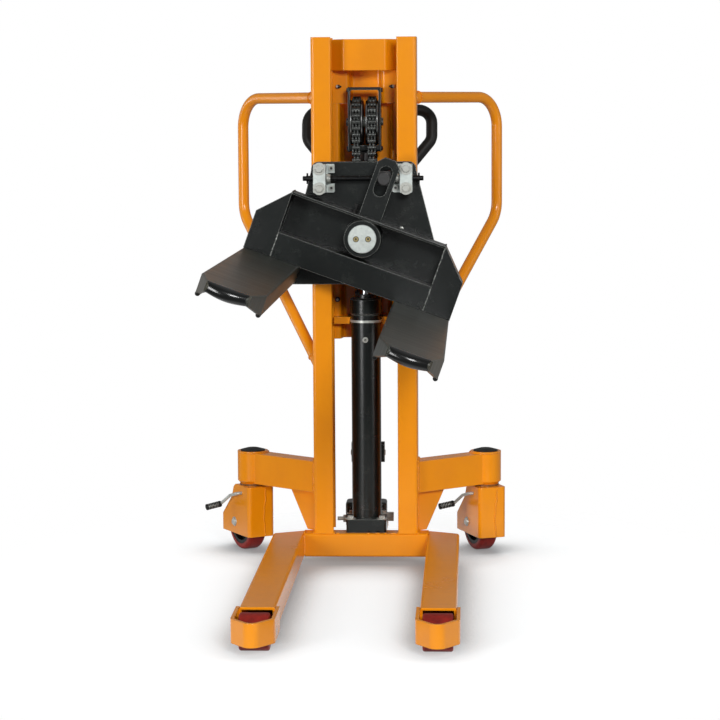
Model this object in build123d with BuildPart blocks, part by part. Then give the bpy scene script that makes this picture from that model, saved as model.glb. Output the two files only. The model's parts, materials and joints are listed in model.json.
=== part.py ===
from build123d import *
import os
from math import cos, hypot, pi, radians, sin

os.makedirs("parts", exist_ok=True)

# Millimetres: X across the machine, Y from the front of the mast to the rear, Z up from the floor
sides = {"left": -1, "right": 1}

# Fits
running_clearance = 0.06
slide_clearance = 1.0
part_gap = 0.4

# Mast
mast_width = 264.0
mast_depth = 100.0
mast_top = 1334.0
flange_width = 50.0
channel_wall = 8.0
channel_round = 8.0
toe_round = 3.5
cross_plate_bottom = 1252.0
cross_plate_top = 1330.0
cross_plate_wall = 6.0
cross_plate_fold = 52.0
cross_plate_step = 30.0
cross_plate_lap = 42.0
panel_wall = 4.0
panel_half_width = 126.0
panel_recess_depth = 38.0
panel_split = 1170.0
upper_panel_top = 1256.0
upper_recess_half = 42.0
lower_panel_bottom = 570.0
lower_recess_half = 66.0
recess_draft = 6.0
panel_bend_round = 8.0
bend_round = 5.0
screw_size = 13.0
screw_head = 5.0
upper_screw_height = 1212.0
lower_screw_height = 671.0

# Base frame
base_bottom = 21.0
base_height = 60.0
tube_round = 6.0
crossbar_depth = 60.0
crossbar_wall = 5.0
base_plate_width = 100.0
base_plate_rear = 196.0
base_plate_wall = 12.0
fork_spacing = 394.0
leg_width = 80.0
leg_wall = 6.0
leg_reach = 873.0
leg_rear_inner = 45.0
leg_rear_outer = 5.0

# Nose guards and front rollers
guard_wall = 8.0
guard_bottom = 26.0
guard_height = 53.0
guard_overlap = 20.0
guard_bend_reach = 102.0
guard_tip_reach = 156.0
guard_tip_round = 14.0
front_roller_radius = 41.0
front_roller_width = 66.0
front_roller_round = 5.0
front_axle_reach = 60.0
front_axle_radius = 10.0

# Outriggers and their swivel tubes
arm_bottom = 183.0
arm_height = 80.0
arm_width = 50.0
arm_wall = 4.0
arm_root = 55.0
swivel_offset = 305.0
swivel_rear = 195.0
swivel_radius = 40.0
swivel_bottom = 182.0
swivel_height = 85.0
swivel_chamfer = 7.0
cap_radius = 32.0
cap_height = 7.0
cap_button_radius = 15.0
gusset_wall = 8.0
gusset_foot = 24.0
gusset_reach = 83.0

# Casters
caster_turn = {"left": 31.0, "right": 21.5}
wheel_radius = 75.0
tyre_width = 45.0
tyre_wall = 15.0
tyre_round = 9.0
wheel_trail = 38.0
hub_boss_radius = 17.0
hub_web = 14.0
hub_rim_wall = 9.0
housing_width = 75.0
housing_wall = 5.0
housing_front = 49.0
housing_bottom = 44.0
housing_height = 132.0
housing_round = 10.0
housing_shoulder = 31.0
housing_bevel_run = 11.0
housing_bevel_drop = 8.0
housing_back_run = 22.0
housing_back_drop = 35.0
housing_tail = 110.0
housing_tail_height = 44.0
stem_radius = 15.0
thrust_radius = 34.0
caster_axle_radius = 8.0
axle_head_size = 24.0
axle_head = 9.0
brake_rod_radius = 4.0
brake_hole_back = 43.0
brake_hole_drop = 19.0
brake_bend = 9.0
brake_stand = 12.0
brake_crank_run = 39.0
brake_crank_drop = 11.0
brake_crank_out = 3.0
brake_arm_run = 78.0
brake_arm_drop = 38.0
brake_arm_out = 12.0
pedal_run = 9.0
pedal_drop = 8.0
pedal_out = 38.0
grip_radius = 7.5
grip_length = 40.0

# Push handles
handle_radius = 14.0
handle_wall = 2.5
handle_root = 80.0
handle_reach = 335.0
handle_rear = 335.0
handle_top = 1184.0
handle_elbow = 880.0
handle_foot = 525.0
handle_bend = 77.0

# Lift cylinder and pump
cylinder_y = 65.0
cylinder_radius = 37.5
cylinder_bore = 30.0
cylinder_top = 636.0
cylinder_base_width = 102.0
cylinder_base_depth = 100.0
cylinder_base_height = 34.0
base_bolt_inset = 11.0
base_bolt_size = 15.0
base_bolt_head = 7.0
gland_radius = 40.0
gland_height = 42.0
gland_collar_radius = 27.0
gland_collar_height = 10.0
gland_chamfer = 3.0
rod_radius = 16.0
rod_foot = 380.0
piston_height = 28.0
band_wall = 3.0
band_height = 6.0
saddle_bottom = 611.0
saddle_height = 18.0
saddle_gap = 2.0
saddle_tongue = 100.0
bleed_height = 574.0
bleed_radius = 7.0
bleed_head = 4.0
pump_left = 58.0
pump_right = 48.0
pump_front = 118.0
pump_depth = 70.0
pump_height = 60.0
pump_round = 12.0
lug_width = 44.0
lug_radius = 13.0
lug_neck = 20.0
barrel_radius = 18.0
barrel_height = 74.0
barrel_y = 178.0
plunger_radius = 10.0
plunger_cap_radius = 12.0
plunger_cap_height = 8.0
plunger_length = 80.0
valve_radius = 5.0
valve_length = 22.0
valve_nut_size = 18.0
valve_nut_length = 7.0
plug_size = 22.0
plug_length = 18.0

# Tiller
tiller_y = 152.0
tiller_height = 268.0
tiller_lean = 12.5
tiller_pin_radius = 7.0
tiller_pin_head = 2.0
yoke_block_width = 86.0
yoke_block_depth = 24.0
yoke_block_drop = 25.0
yoke_block_rise = 28.0
cam_radius = 8.0
cam_rear = 33.0
cam_drop = 13.0
cam_arm_wall = 10.0
plunger_gap = 1.5
tiller_tube_radius = 15.0
loop_radius = 13.5
loop_half_width = 164.0
loop_foot = 655.0
loop_foot_half = 25.0
loop_side = 826.0
loop_top = 905.0
loop_bend = 36.0

# Chain head on the ram
sheave_axle_height = 1123.0
sheave_offset = 19.5
sheave_width = 31.0
sheave_tread_radius = 50.0
sheave_flange_radius = 56.0
sheave_axle_radius = 10.0
chain_pitch = 15.875
chain_plate_half_height = 7.0
chain_plate_wall = 4.0
chain_pin_radius = 2.6
chain_pin_length = 22.0
chain_front_links = 21
chain_rear_links = 13
anchor_links = 14
stud_radius = 6.0
clevis_width = 24.5
clevis_depth = 16.5
clevis_rise = 8.5
clevis_drop = 19.0
head_cheek_wall = 5.5
head_cheek_depth = 50.0
head_drop = 58.5
head_rise = 87.0
head_crosshead = 16.0
head_top_wall = 7.0
head_nut_size = 18.0
head_nut_length = 5.0

# Carriage
plate_gap = 3.0
plate_wall = 15.0
plate_top = 1025.0
plate_top_half = 131.0
plate_shoulder = 1004.0
plate_bottom = 719.0
plate_bottom_half = 203.0
plate_round = 18.0
cheek_inner = 58.0
cheek_wall = 12.0
cheek_bottom = 745.0
cheek_top = 985.0
cheek_rear = 62.0
roller_radius = 41.0
roller_width = 34.0
roller_round = 3.0
roller_spacer = 14.0
roller_axle_radius = 12.0
stub_collar_wall = 4.0
roller_heights = {"lower": 792.0, "upper": 936.0}
anchor_width = 68.0
anchor_depth = 23.0
anchor_height = 44.0
pivot_height = 837.5
pivot_radius = 30.0
pivot_cap_radius = 35.0
pivot_cap_wall = 8.0
pivot_cap_round = 2.0
cap_screw_offset = 15.0
cap_screw_radius = 6.5
cap_screw_head = 3.0
plate_bolt_x = 94.0
plate_bolt_height = 858.0
plate_bolt_size = 13.0
plate_bolt_head = 3.5

# Tilt screw
spindle_height = 984.5
spindle_stand = 28.0
spindle_radius = 7.0
spindle_half_length = 150.0
cross_pin_radius = 2.3
cross_pin_length = 27.0
cross_pin_inset = 11.5
spindle_end_radius = 6.0
spindle_end_length = 8.5
collar_radius = 11.0
collar_width = 10.0
block_inner = 92.0
block_outer = 122.5
block_depth = 58.0
block_height = 71.0
block_round = 4.0
block_lug_wall = 10.0
block_lug_inner = 72.0
block_notch_width = 16.0
block_notch_height = 26.0
block_bolt_size = 17.0
block_bolt_head = 7.0
block_bolt_inset = 11.0
lug_screw_radius = 6.5
lug_screw_head = 6.0
lug_screw_inset = 8.0
nut_width = 34.0
nut_depth = 36.0
nut_height = 36.0
nut_boss_radius = 15.0
nut_boss_proud = 3.0

# Tilting fork frame, tilted as in the rest pose; u runs along the frame and v square to it
tilt_angle = 19.87
frame_gap = 5.0
frame_depth = 90.0
frame_half = 200.0
frame_top = 52.0
frame_bottom = 118.5
frame_panel_wall = 10.0
frame_flange_wall = 6.0
beam_height = 65.0
beam_wall = 6.0
end_box_half = 270.0
end_box_corner = 21.0
end_box_wall = 8.0
hub_radius = 45.5
lever_width = 57.0
lever_wall = 12.0
lever_top = 207.0
lever_chamfer = 15.0
lever_stand = 55.0
slot_bottom = 111.0
slot_top = 188.0
rib_wall = 8.0
rib_height = 44.0
rib_depth = 30.0
fork_width = 145.0
fork_height = 45.0
fork_tip = 1110.0
fork_wall = 8.0
fork_fold = 4.0
fork_taper = 23.5
fork_taper_length = 110.0
fork_nose_radius = 11.5
fork_seat = 1.0
edge_bar_radius = 5.0

# Places that follow from the sizes above
mast_half = mast_width / 2
base_top = base_bottom + base_height
leg_offset = fork_spacing / 2
toe_offset = mast_half - flange_width
front_axle_y = -(leg_reach + front_axle_reach)
guard_width = leg_width + 2 * guard_wall
panel_front = mast_depth
recess_web = panel_front + panel_recess_depth
arm_run = hypot(swivel_offset - mast_half, swivel_rear - arm_root)
arm_x = (swivel_offset - mast_half) / arm_run
arm_y = (swivel_rear - arm_root) / arm_run
cylinder_foot = base_top + cylinder_base_height
saddle_top = saddle_bottom + saddle_height
saddle_front = mast_depth / 2 + roller_axle_radius + stub_collar_wall + saddle_gap
pump_top = base_top + pump_height
barrel_top = pump_top + barrel_height
chain_sag = chain_pitch**2 / (8 * sheave_tread_radius)
chain_radius = sheave_tread_radius + chain_plate_half_height + chain_sag + part_gap
chain_front_y = cylinder_y - chain_radius
chain_rear_y = cylinder_y + chain_radius
chain_front_end = sheave_axle_height - chain_front_links * chain_pitch
head_half = sheave_offset + sheave_width / 2 + slide_clearance + head_cheek_wall
head_bottom = sheave_axle_height - head_drop - head_crosshead
head_top = sheave_axle_height + head_rise
plate_rear_y = -plate_gap
plate_front_y = plate_rear_y - plate_wall
frame_rear_y = plate_front_y - frame_gap
frame_front_y = frame_rear_y - frame_depth
spindle_y = plate_front_y - spindle_stand
block_front_y = plate_front_y - block_depth
lever_rear_y = frame_rear_y - lever_stand
lever_front_y = lever_rear_y - lever_wall
cap_rear_y = frame_front_y - part_gap
cap_front_y = cap_rear_y - pivot_cap_wall
roller_inner = cheek_inner + cheek_wall + roller_spacer
tilt = radians(tilt_angle)
tilt_right = (cos(tilt), 0, -sin(tilt))
tilt_down = (-sin(tilt), 0, -cos(tilt))
nut_x = (spindle_height - pivot_height) * sin(tilt) / cos(tilt)


def front_plane(y):
    return Plane(origin=(0, y, 0), x_dir=(1, 0, 0), z_dir=(0, -1, 0))


def tilt_plane(y):
    return Plane(origin=(0, y, pivot_height), x_dir=tilt_right, z_dir=(0, -1, 0))


def save(part, name):
    part.label = name
    export_step(part, f"parts/{name}.step")


# Mast uprights: channels open towards each other
for name, side in sides.items():
    with BuildPart() as upright:
        with BuildSketch(Plane.XY.offset(base_top)) as channel:
            with Locations((side * (mast_half - flange_width / 2), mast_depth / 2)):
                Rectangle(flange_width, mast_depth)
            with Locations((side * (mast_half - channel_wall - flange_width / 2), mast_depth / 2)):
                Rectangle(flange_width, mast_depth - 2 * channel_wall, mode=Mode.SUBTRACT)
            outer_corners = sorted(channel.vertices(), key=lambda corner: -side * corner.X)[:2]
            fillet(outer_corners, channel_round)
            toes = sorted(channel.vertices(), key=lambda corner: side * corner.X)[:4]
            fillet(toes, toe_round)
        extrude(amount=mast_top - base_top)
    save(upright.part, f"mast_upright_{name}")

# Folded plate that ties the uprights at the top
with BuildPart() as cross_plate:
    plate_end = mast_half - channel_wall
    flank_y = mast_depth - channel_wall
    with BuildSketch(Plane.XY.offset(cross_plate_bottom)):
        with BuildLine():
            fold = FilletPolyline(
                (-plate_end, flank_y),
                (cross_plate_lap - plate_end, flank_y),
                (-cross_plate_fold, flank_y - cross_plate_step),
                (cross_plate_fold, flank_y - cross_plate_step),
                (plate_end - cross_plate_lap, flank_y),
                (plate_end, flank_y),
                radius=bend_round,
            )
            offset(fold, amount=cross_plate_wall, side=Side.RIGHT)
        make_face()
    extrude(amount=cross_plate_top - cross_plate_bottom)
save(cross_plate.part, "top_cross_plate")

# Back panels: sheets with a deep channel that clears the rear run of the chains
panel_sizes = {
    "upper": (panel_split, upper_panel_top, upper_recess_half),
    "lower": (lower_panel_bottom, panel_split, lower_recess_half),
}
for name, (bottom, top, recess_half) in panel_sizes.items():
    with BuildPart() as panel:
        with BuildSketch(Plane.XY.offset(bottom)):
            with BuildLine():
                fold = FilletPolyline(
                    (-panel_half_width, panel_front),
                    (-recess_half, panel_front),
                    (-recess_half + recess_draft, recess_web),
                    (recess_half - recess_draft, recess_web),
                    (recess_half, panel_front),
                    (panel_half_width, panel_front),
                    radius=panel_bend_round,
                )
                offset(fold, amount=panel_wall, side=Side.LEFT)
            make_face()
        extrude(amount=top - bottom)
    save(panel.part, f"{name}_back_panel")

# Hexagon screws of the back panels and of the cylinder base
with BuildPart() as screws:
    with BuildSketch(front_plane(panel_front)):
        upper_screw = (toe_offset + upper_recess_half + panel_bend_round) / 2
        lower_screw = (toe_offset + lower_recess_half) / 2
        with Locations(
            (-upper_screw, upper_screw_height),
            (upper_screw, upper_screw_height),
            (-lower_screw, lower_screw_height),
            (lower_screw, lower_screw_height),
        ):
            RegularPolygon(screw_size / 2, 6, major_radius=False)
    extrude(amount=screw_head)
    with BuildSketch(Plane.XY.offset(cylinder_foot)):
        with Locations((0, cylinder_y)):
            with GridLocations(
                cylinder_base_width - 2 * base_bolt_inset, cylinder_base_depth - 2 * base_bolt_inset, 2, 2
            ):
                RegularPolygon(base_bolt_size / 2, 6, major_radius=False)
    extrude(amount=base_bolt_head)
save(screws.part, "frame_screws")

# Saddle that carries the cylinder head and the chain anchors
with BuildPart() as saddle:
    with BuildSketch(Plane.XY.offset(saddle_bottom)):
        with Locations((0, (saddle_front + panel_front) / 2)):
            Rectangle(2 * toe_offset, panel_front - saddle_front)
        with Locations((0, (saddle_front + recess_web) / 2)):
            Rectangle(saddle_tongue, recess_web - saddle_front)
        with Locations((0, cylinder_y)):
            Circle(cylinder_radius + band_wall, mode=Mode.SUBTRACT)
    extrude(amount=saddle_height)
save(saddle.part, "cylinder_saddle")

# Crossbar between the legs, with the plate under the cylinder and the pump
with BuildPart() as crossbar:
    with BuildSketch(Plane.YZ):
        with Locations((crossbar_depth / 2, base_bottom + base_height / 2)):
            RectangleRounded(crossbar_depth, base_height, tube_round)
    extrude(amount=leg_offset - leg_width / 2, both=True)
    plate_start = crossbar_depth - crossbar_wall
    with Locations((0, (plate_start + base_plate_rear) / 2, base_top - base_plate_wall / 2)):
        Box(base_plate_width, base_plate_rear - plate_start, base_plate_wall)
    with BuildSketch(Plane.YZ):
        with Locations((crossbar_depth / 2, base_bottom + base_height / 2)):
            Rectangle(crossbar_depth - 2 * crossbar_wall, base_height - 2 * crossbar_wall)
    extrude(amount=leg_offset - leg_width / 2, both=True, mode=Mode.SUBTRACT)
save(crossbar.part, "base_crossbar")

# Legs: tubes open at the front, closed by a slanted plate at the rear
for name, side in sides.items():
    inner = side * (leg_offset - leg_width / 2)
    outer = side * (leg_offset + leg_width / 2)
    with BuildPart() as leg:
        with BuildSketch(Plane.XY.offset(base_bottom)):
            Polygon(
                (inner, -leg_reach),
                (outer, -leg_reach),
                (outer, leg_rear_outer),
                (inner, leg_rear_inner),
                align=None,
            )
        extrude(amount=base_height)
        fillet(leg.edges().filter_by(Axis.Y), tube_round)
        with BuildSketch(Plane.XY.offset(base_bottom + leg_wall)):
            Polygon(
                (inner + side * leg_wall, -leg_reach),
                (outer - side * leg_wall, -leg_reach),
                (outer - side * leg_wall, leg_rear_outer - leg_wall),
                (inner + side * leg_wall, leg_rear_inner - 2 * leg_wall),
                align=None,
            )
        extrude(amount=base_height - 2 * leg_wall, mode=Mode.SUBTRACT)
    save(leg.part, f"leg_{name}")

# Nose guards: plate bent round each front roller
with BuildPart() as guards:
    for side in sides.values():
        middle = side * leg_offset
        half = leg_width / 2
        with BuildSketch(Plane.XY.offset(guard_bottom)):
            with BuildLine():
                bend = FilletPolyline(
                    (middle - half, -leg_reach + guard_overlap),
                    (middle - half, -leg_reach - guard_bend_reach),
                    (middle, -leg_reach - guard_tip_reach),
                    (middle + half, -leg_reach - guard_bend_reach),
                    (middle + half, -leg_reach + guard_overlap),
                    radius=guard_tip_round,
                )
                offset(bend, amount=guard_wall, side=Side.RIGHT)
            make_face()
        extrude(amount=guard_height)
    with Locations(*[(side * leg_offset, front_axle_y, front_roller_radius) for side in sides.values()]):
        Cylinder(
            front_axle_radius + running_clearance, 2 * guard_width, rotation=(0, 90, 0), mode=Mode.SUBTRACT
        )
save(guards.part, "nose_guards")

with BuildPart() as front_axles:
    with Locations(*[(side * leg_offset, front_axle_y, front_roller_radius) for side in sides.values()]):
        Cylinder(front_axle_radius, guard_width, rotation=(0, 90, 0))
save(front_axles.part, "front_axles")

for name, side in sides.items():
    with BuildPart() as roller:
        with Locations((side * leg_offset, front_axle_y, front_roller_radius)):
            Cylinder(front_roller_radius, front_roller_width, rotation=(0, 90, 0))
        fillet(roller.edges().filter_by(GeomType.CIRCLE), front_roller_round)
        with Locations((side * leg_offset, front_axle_y, front_roller_radius)):
            Cylinder(
                front_axle_radius + running_clearance,
                2 * front_roller_width,
                rotation=(0, 90, 0),
                mode=Mode.SUBTRACT,
            )
    save(roller.part, f"front_roller_{name}")

# Outriggers: box arm, swivel tube and gusset in one weldment
for name, side in sides.items():
    half = arm_width / 2
    with BuildPart() as outrigger:
        with BuildSketch(Plane.XY.offset(arm_bottom)):
            Polygon(
                (side * mast_half, arm_root - half / arm_x),
                (side * (swivel_offset + half * arm_y), swivel_rear - half * arm_x),
                (side * (swivel_offset - half * arm_y), swivel_rear + half * arm_x),
                (side * mast_half, arm_root + half / arm_x),
                align=None,
            )
        extrude(amount=arm_height)
        hollow = half - arm_wall
        end_x = swivel_offset - arm_x * swivel_radius
        end_y = swivel_rear - arm_y * swivel_radius
        with BuildSketch(Plane.XY.offset(arm_bottom + arm_wall)):
            Polygon(
                (side * mast_half, arm_root - hollow / arm_x),
                (side * (end_x + hollow * arm_y), end_y - hollow * arm_x),
                (side * (end_x - hollow * arm_y), end_y + hollow * arm_x),
                (side * mast_half, arm_root + hollow / arm_x),
                align=None,
            )
        extrude(amount=arm_height - 2 * arm_wall, mode=Mode.SUBTRACT)
        swivel_axis = Axis((side * swivel_offset, swivel_rear, 0), (0, 0, 1))
        with BuildSketch(front_plane(swivel_rear)):
            with Locations((side * swivel_offset, swivel_bottom)):
                Polygon(
                    (0, 0),
                    (swivel_radius - swivel_chamfer, 0),
                    (swivel_radius, swivel_chamfer),
                    (swivel_radius, swivel_height),
                    (0, swivel_height),
                    align=None,
                )
        revolve(axis=swivel_axis)
        gusset_plane = Plane(
            origin=(side * mast_half, arm_root, 0),
            x_dir=(side * arm_x, arm_y, 0),
            z_dir=(arm_y, -side * arm_x, 0),
        )
        with BuildSketch(gusset_plane):
            Polygon(
                (-gusset_wall, base_top),
                (gusset_foot, base_top),
                (gusset_reach, arm_bottom),
                (-gusset_wall, arm_bottom),
                align=None,
            )
        extrude(amount=gusset_wall / 2, both=True)
        with Locations((0, mast_depth / 2, mast_top / 2)):
            Box(mast_width, 2 * mast_depth, mast_top, mode=Mode.SUBTRACT)
        with Locations((side * swivel_offset, swivel_rear, swivel_bottom + swivel_height / 2)):
            Cylinder(stem_radius + running_clearance, 2 * swivel_height, mode=Mode.SUBTRACT)
    save(outrigger.part, f"outrigger_{name}")

# Domed caps on the swivel tubes
with BuildPart() as caps:
    for side in sides.values():
        with BuildSketch(front_plane(swivel_rear)):
            with Locations((side * swivel_offset, swivel_bottom + swivel_height)):
                Polygon(
                    (0, 0),
                    (cap_radius, 0),
                    (cap_radius, cap_height / 3),
                    (cap_button_radius, cap_height),
                    (0, cap_height),
                    align=None,
                )
        revolve(axis=Axis((side * swivel_offset, swivel_rear, 0), (0, 0, 1)))
save(caps.part, "swivel_caps")

# Push handles: one bent tube on each side
handle_run = hypot(handle_reach - mast_half, handle_rear - handle_root)
handle_tuck = 2 * handle_radius / handle_run
for name, side in sides.items():
    tuck_x = mast_half - handle_tuck * (handle_reach - mast_half)
    tuck_y = handle_root - handle_tuck * (handle_rear - handle_root)
    with BuildPart() as handle:
        with BuildLine() as run:
            FilletPolyline(
                (side * tuck_x, tuck_y, handle_top),
                (side * handle_reach, handle_rear, handle_top),
                (side * handle_reach, handle_rear, handle_elbow),
                (side * tuck_x, tuck_y, handle_foot - handle_tuck * (handle_elbow - handle_foot)),
                radius=handle_bend,
            )
        with BuildSketch(Plane(origin=run.line @ 0, z_dir=run.line % 0)):
            Circle(handle_radius)
            Circle(handle_radius - handle_wall, mode=Mode.SUBTRACT)
        sweep()
        with Locations((0, mast_depth / 2, mast_top / 2)):
            Box(mast_width, 2 * mast_depth, mast_top, mode=Mode.SUBTRACT)
    save(handle.part, f"push_handle_{name}")

# Casters, each turned about its swivel axis as in the rest pose
for name, side in sides.items():
    turn = radians(caster_turn[name])
    ahead = (sin(turn), -cos(turn), 0)
    outward = (-cos(turn), -sin(turn), 0)
    swivel_foot = (side * swivel_offset, swivel_rear, 0)
    caster_plane = Plane(origin=swivel_foot, x_dir=ahead, z_dir=(0, 0, 1))
    profile_plane = Plane(origin=swivel_foot, x_dir=ahead, z_dir=outward)
    housing_top = housing_bottom + housing_height
    brake_x = housing_front - brake_hole_back
    brake_z = housing_top - brake_hole_drop
    wheel_plane = Plane(
        origin=caster_plane.from_local_coords(Vector(-wheel_trail, 0, wheel_radius)),
        x_dir=ahead,
        z_dir=outward,
    )

    with BuildPart() as housing:
        with BuildSketch(profile_plane):
            Polygon(
                (housing_front, housing_bottom),
                (housing_front, housing_top),
                (-housing_shoulder, housing_top),
                (-housing_shoulder - housing_bevel_run, housing_top - housing_bevel_drop),
                (-housing_shoulder - housing_back_run, housing_top - housing_back_drop),
                (-housing_tail, housing_bottom + housing_tail_height),
                (-housing_tail, housing_bottom),
                align=None,
            )
        extrude(amount=housing_width / 2, both=True)
        upright_edges = housing.edges().filter_by(Axis.Z)
        upright_edges.sort(key=lambda edge: -caster_plane.to_local_coords(edge.center()).X)
        fillet(upright_edges[:2], housing_round)
        with BuildSketch(profile_plane):
            Polygon(
                (housing_front - housing_wall, 0),
                (housing_front - housing_wall, housing_top - housing_wall),
                (-2 * housing_tail, housing_top - housing_wall),
                (-2 * housing_tail, 0),
                align=None,
            )
        extrude(amount=housing_width / 2 - housing_wall, both=True, mode=Mode.SUBTRACT)
        with BuildSketch(wheel_plane):
            Circle(caster_axle_radius + running_clearance)
        extrude(amount=housing_width, both=True, mode=Mode.SUBTRACT)
        with BuildSketch(profile_plane):
            with Locations((brake_x, brake_z)):
                Circle(brake_rod_radius + running_clearance)
        extrude(amount=housing_width, both=True, mode=Mode.SUBTRACT)
        with BuildSketch(Plane(origin=(*swivel_foot[:2], housing_top))):
            Circle(thrust_radius)
        extrude(amount=swivel_bottom - part_gap - housing_top)
        with BuildSketch(Plane(origin=(*swivel_foot[:2], housing_top))):
            Circle(stem_radius)
        extrude(amount=swivel_bottom + swivel_height - part_gap - housing_top)
    save(housing.part, f"caster_housing_{name}")

    with BuildPart() as axle:
        with BuildSketch(wheel_plane):
            Circle(caster_axle_radius)
        extrude(amount=housing_width / 2 + axle_head, both=True)
        for face_offset in (housing_width / 2, -housing_width / 2 - axle_head):
            with BuildSketch(wheel_plane.offset(face_offset)):
                RegularPolygon(axle_head_size / 2, 6, major_radius=False)
            extrude(amount=axle_head)
    save(axle.part, f"caster_axle_{name}")

    with BuildPart() as hub:
        hub_rim_radius = wheel_radius - tyre_wall
        with BuildSketch(wheel_plane):
            Circle(hub_rim_radius)
        extrude(amount=hub_web / 2, both=True)
        with BuildSketch(wheel_plane):
            Circle(hub_rim_radius)
            Circle(hub_rim_radius - hub_rim_wall, mode=Mode.SUBTRACT)
        extrude(amount=tyre_width / 2 - slide_clearance, both=True)
        with BuildSketch(wheel_plane):
            Circle(hub_boss_radius)
        extrude(amount=housing_width / 2 - housing_wall - slide_clearance, both=True)
        with BuildSketch(wheel_plane):
            Circle(caster_axle_radius + running_clearance)
        extrude(amount=housing_width, both=True, mode=Mode.SUBTRACT)
    save(hub.part, f"caster_hub_{name}")

    with BuildPart() as tyre:
        with BuildSketch(wheel_plane):
            Circle(wheel_radius)
        extrude(amount=tyre_width / 2, both=True)
        fillet(tyre.edges().filter_by(GeomType.CIRCLE), tyre_round)
        with BuildSketch(wheel_plane):
            Circle(wheel_radius - tyre_wall)
        extrude(amount=tyre_width, both=True, mode=Mode.SUBTRACT)
    save(tyre.part, f"caster_tyre_{name}")

    with BuildPart() as brake:
        rod_side = -housing_width / 2 - brake_stand
        pedal_x = brake_x - brake_arm_run
        pedal_y = rod_side - brake_arm_out
        pedal_z = brake_z - brake_arm_drop
        with BuildLine(caster_plane) as rod:
            FilletPolyline(
                (brake_x, housing_width / 2, brake_z),
                (brake_x, rod_side, brake_z),
                (brake_x - brake_crank_run, rod_side - brake_crank_out, brake_z - brake_crank_drop),
                (pedal_x, pedal_y, pedal_z),
                (pedal_x - pedal_run, pedal_y - pedal_out, pedal_z - pedal_drop),
                radius=brake_bend,
            )
        with BuildSketch(Plane(origin=rod.line @ 0, z_dir=rod.line % 0)):
            Circle(brake_rod_radius)
        sweep()
        with BuildSketch(Plane(origin=rod.line @ 1, z_dir=-(rod.line % 1))):
            Circle(grip_radius)
        extrude(amount=grip_length - grip_radius)
    save(brake.part, f"brake_lever_{name}")

# Lift cylinder: foot block, tube, gland, band and bleed screw
with BuildPart() as cylinder_base:
    with Locations((0, cylinder_y, base_top + cylinder_base_height / 2)):
        Box(cylinder_base_width, cylinder_base_depth, cylinder_base_height)
    fillet(cylinder_base.edges().filter_by(Axis.Z), tube_round)
save(cylinder_base.part, "cylinder_base")

with BuildPart() as cylinder_tube:
    with BuildSketch(Plane.XY.offset(cylinder_foot)):
        with Locations((0, cylinder_y)):
            Circle(cylinder_radius)
            Circle(cylinder_bore, mode=Mode.SUBTRACT)
    extrude(amount=cylinder_top - cylinder_foot)
save(cylinder_tube.part, "cylinder_tube")

with BuildPart() as gland:
    with BuildSketch(Plane.XY.offset(cylinder_top)):
        with Locations((0, cylinder_y)):
            Circle(gland_radius)
    extrude(amount=gland_height)
    chamfer(gland.edges().filter_by(GeomType.CIRCLE), gland_chamfer)
    with BuildSketch(Plane.XY.offset(cylinder_top + gland_height)):
        with Locations((0, cylinder_y)):
            Circle(gland_collar_radius)
    extrude(amount=gland_collar_height)
    with Locations((0, cylinder_y, cylinder_top)):
        Cylinder(rod_radius + running_clearance, 4 * gland_height, mode=Mode.SUBTRACT)
save(gland.part, "cylinder_gland")

with BuildPart() as cylinder_fittings:
    with BuildSketch(Plane.XY.offset(saddle_bottom + (saddle_height - band_height) / 2)):
        with Locations((0, cylinder_y)):
            Circle(cylinder_radius + band_wall)
            Circle(cylinder_radius, mode=Mode.SUBTRACT)
    extrude(amount=band_height)
    with BuildSketch(front_plane(cylinder_y - cylinder_radius - bleed_head)):
        with Locations((0, bleed_height)):
            Circle(bleed_radius)
    extrude(amount=-bleed_radius)
    with Locations((0, cylinder_y, bleed_height)):
        Cylinder(cylinder_radius, 4 * bleed_radius, mode=Mode.SUBTRACT)
save(cylinder_fittings.part, "cylinder_fittings")

# Pump: body with the plunger barrel and the lug that carries the tiller
with BuildPart() as pump:
    pump_width = pump_left + pump_right
    with Locations(((pump_right - pump_left) / 2, pump_front + pump_depth / 2, base_top + pump_height / 2)):
        Box(pump_width, pump_depth, pump_height)
    fillet(pump.edges().filter_by(Axis.Z), pump_round)
    fillet(pump.edges().group_by(Axis.Z)[-1], pump_round / 2)
    with BuildSketch(Plane.XY.offset(pump_top - pump_round)):
        with Locations((0, barrel_y)):
            Circle(barrel_radius)
    extrude(amount=barrel_height + pump_round)
    with BuildSketch(Plane.YZ):
        with Locations((tiller_y, tiller_height)):
            Circle(lug_radius)
        with Locations((tiller_y, (pump_top - pump_round + tiller_height) / 2)):
            Rectangle(lug_neck, tiller_height - pump_top + pump_round)
    extrude(amount=lug_width / 2, both=True)
    with Locations((0, tiller_y, tiller_height)):
        Cylinder(
            tiller_pin_radius + running_clearance, 2 * lug_width, rotation=(0, 90, 0), mode=Mode.SUBTRACT
        )
    with Locations((0, barrel_y, barrel_top)):
        Cylinder(plunger_radius + running_clearance, 2 * barrel_height, mode=Mode.SUBTRACT)
save(pump.part, "pump_body")

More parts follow.
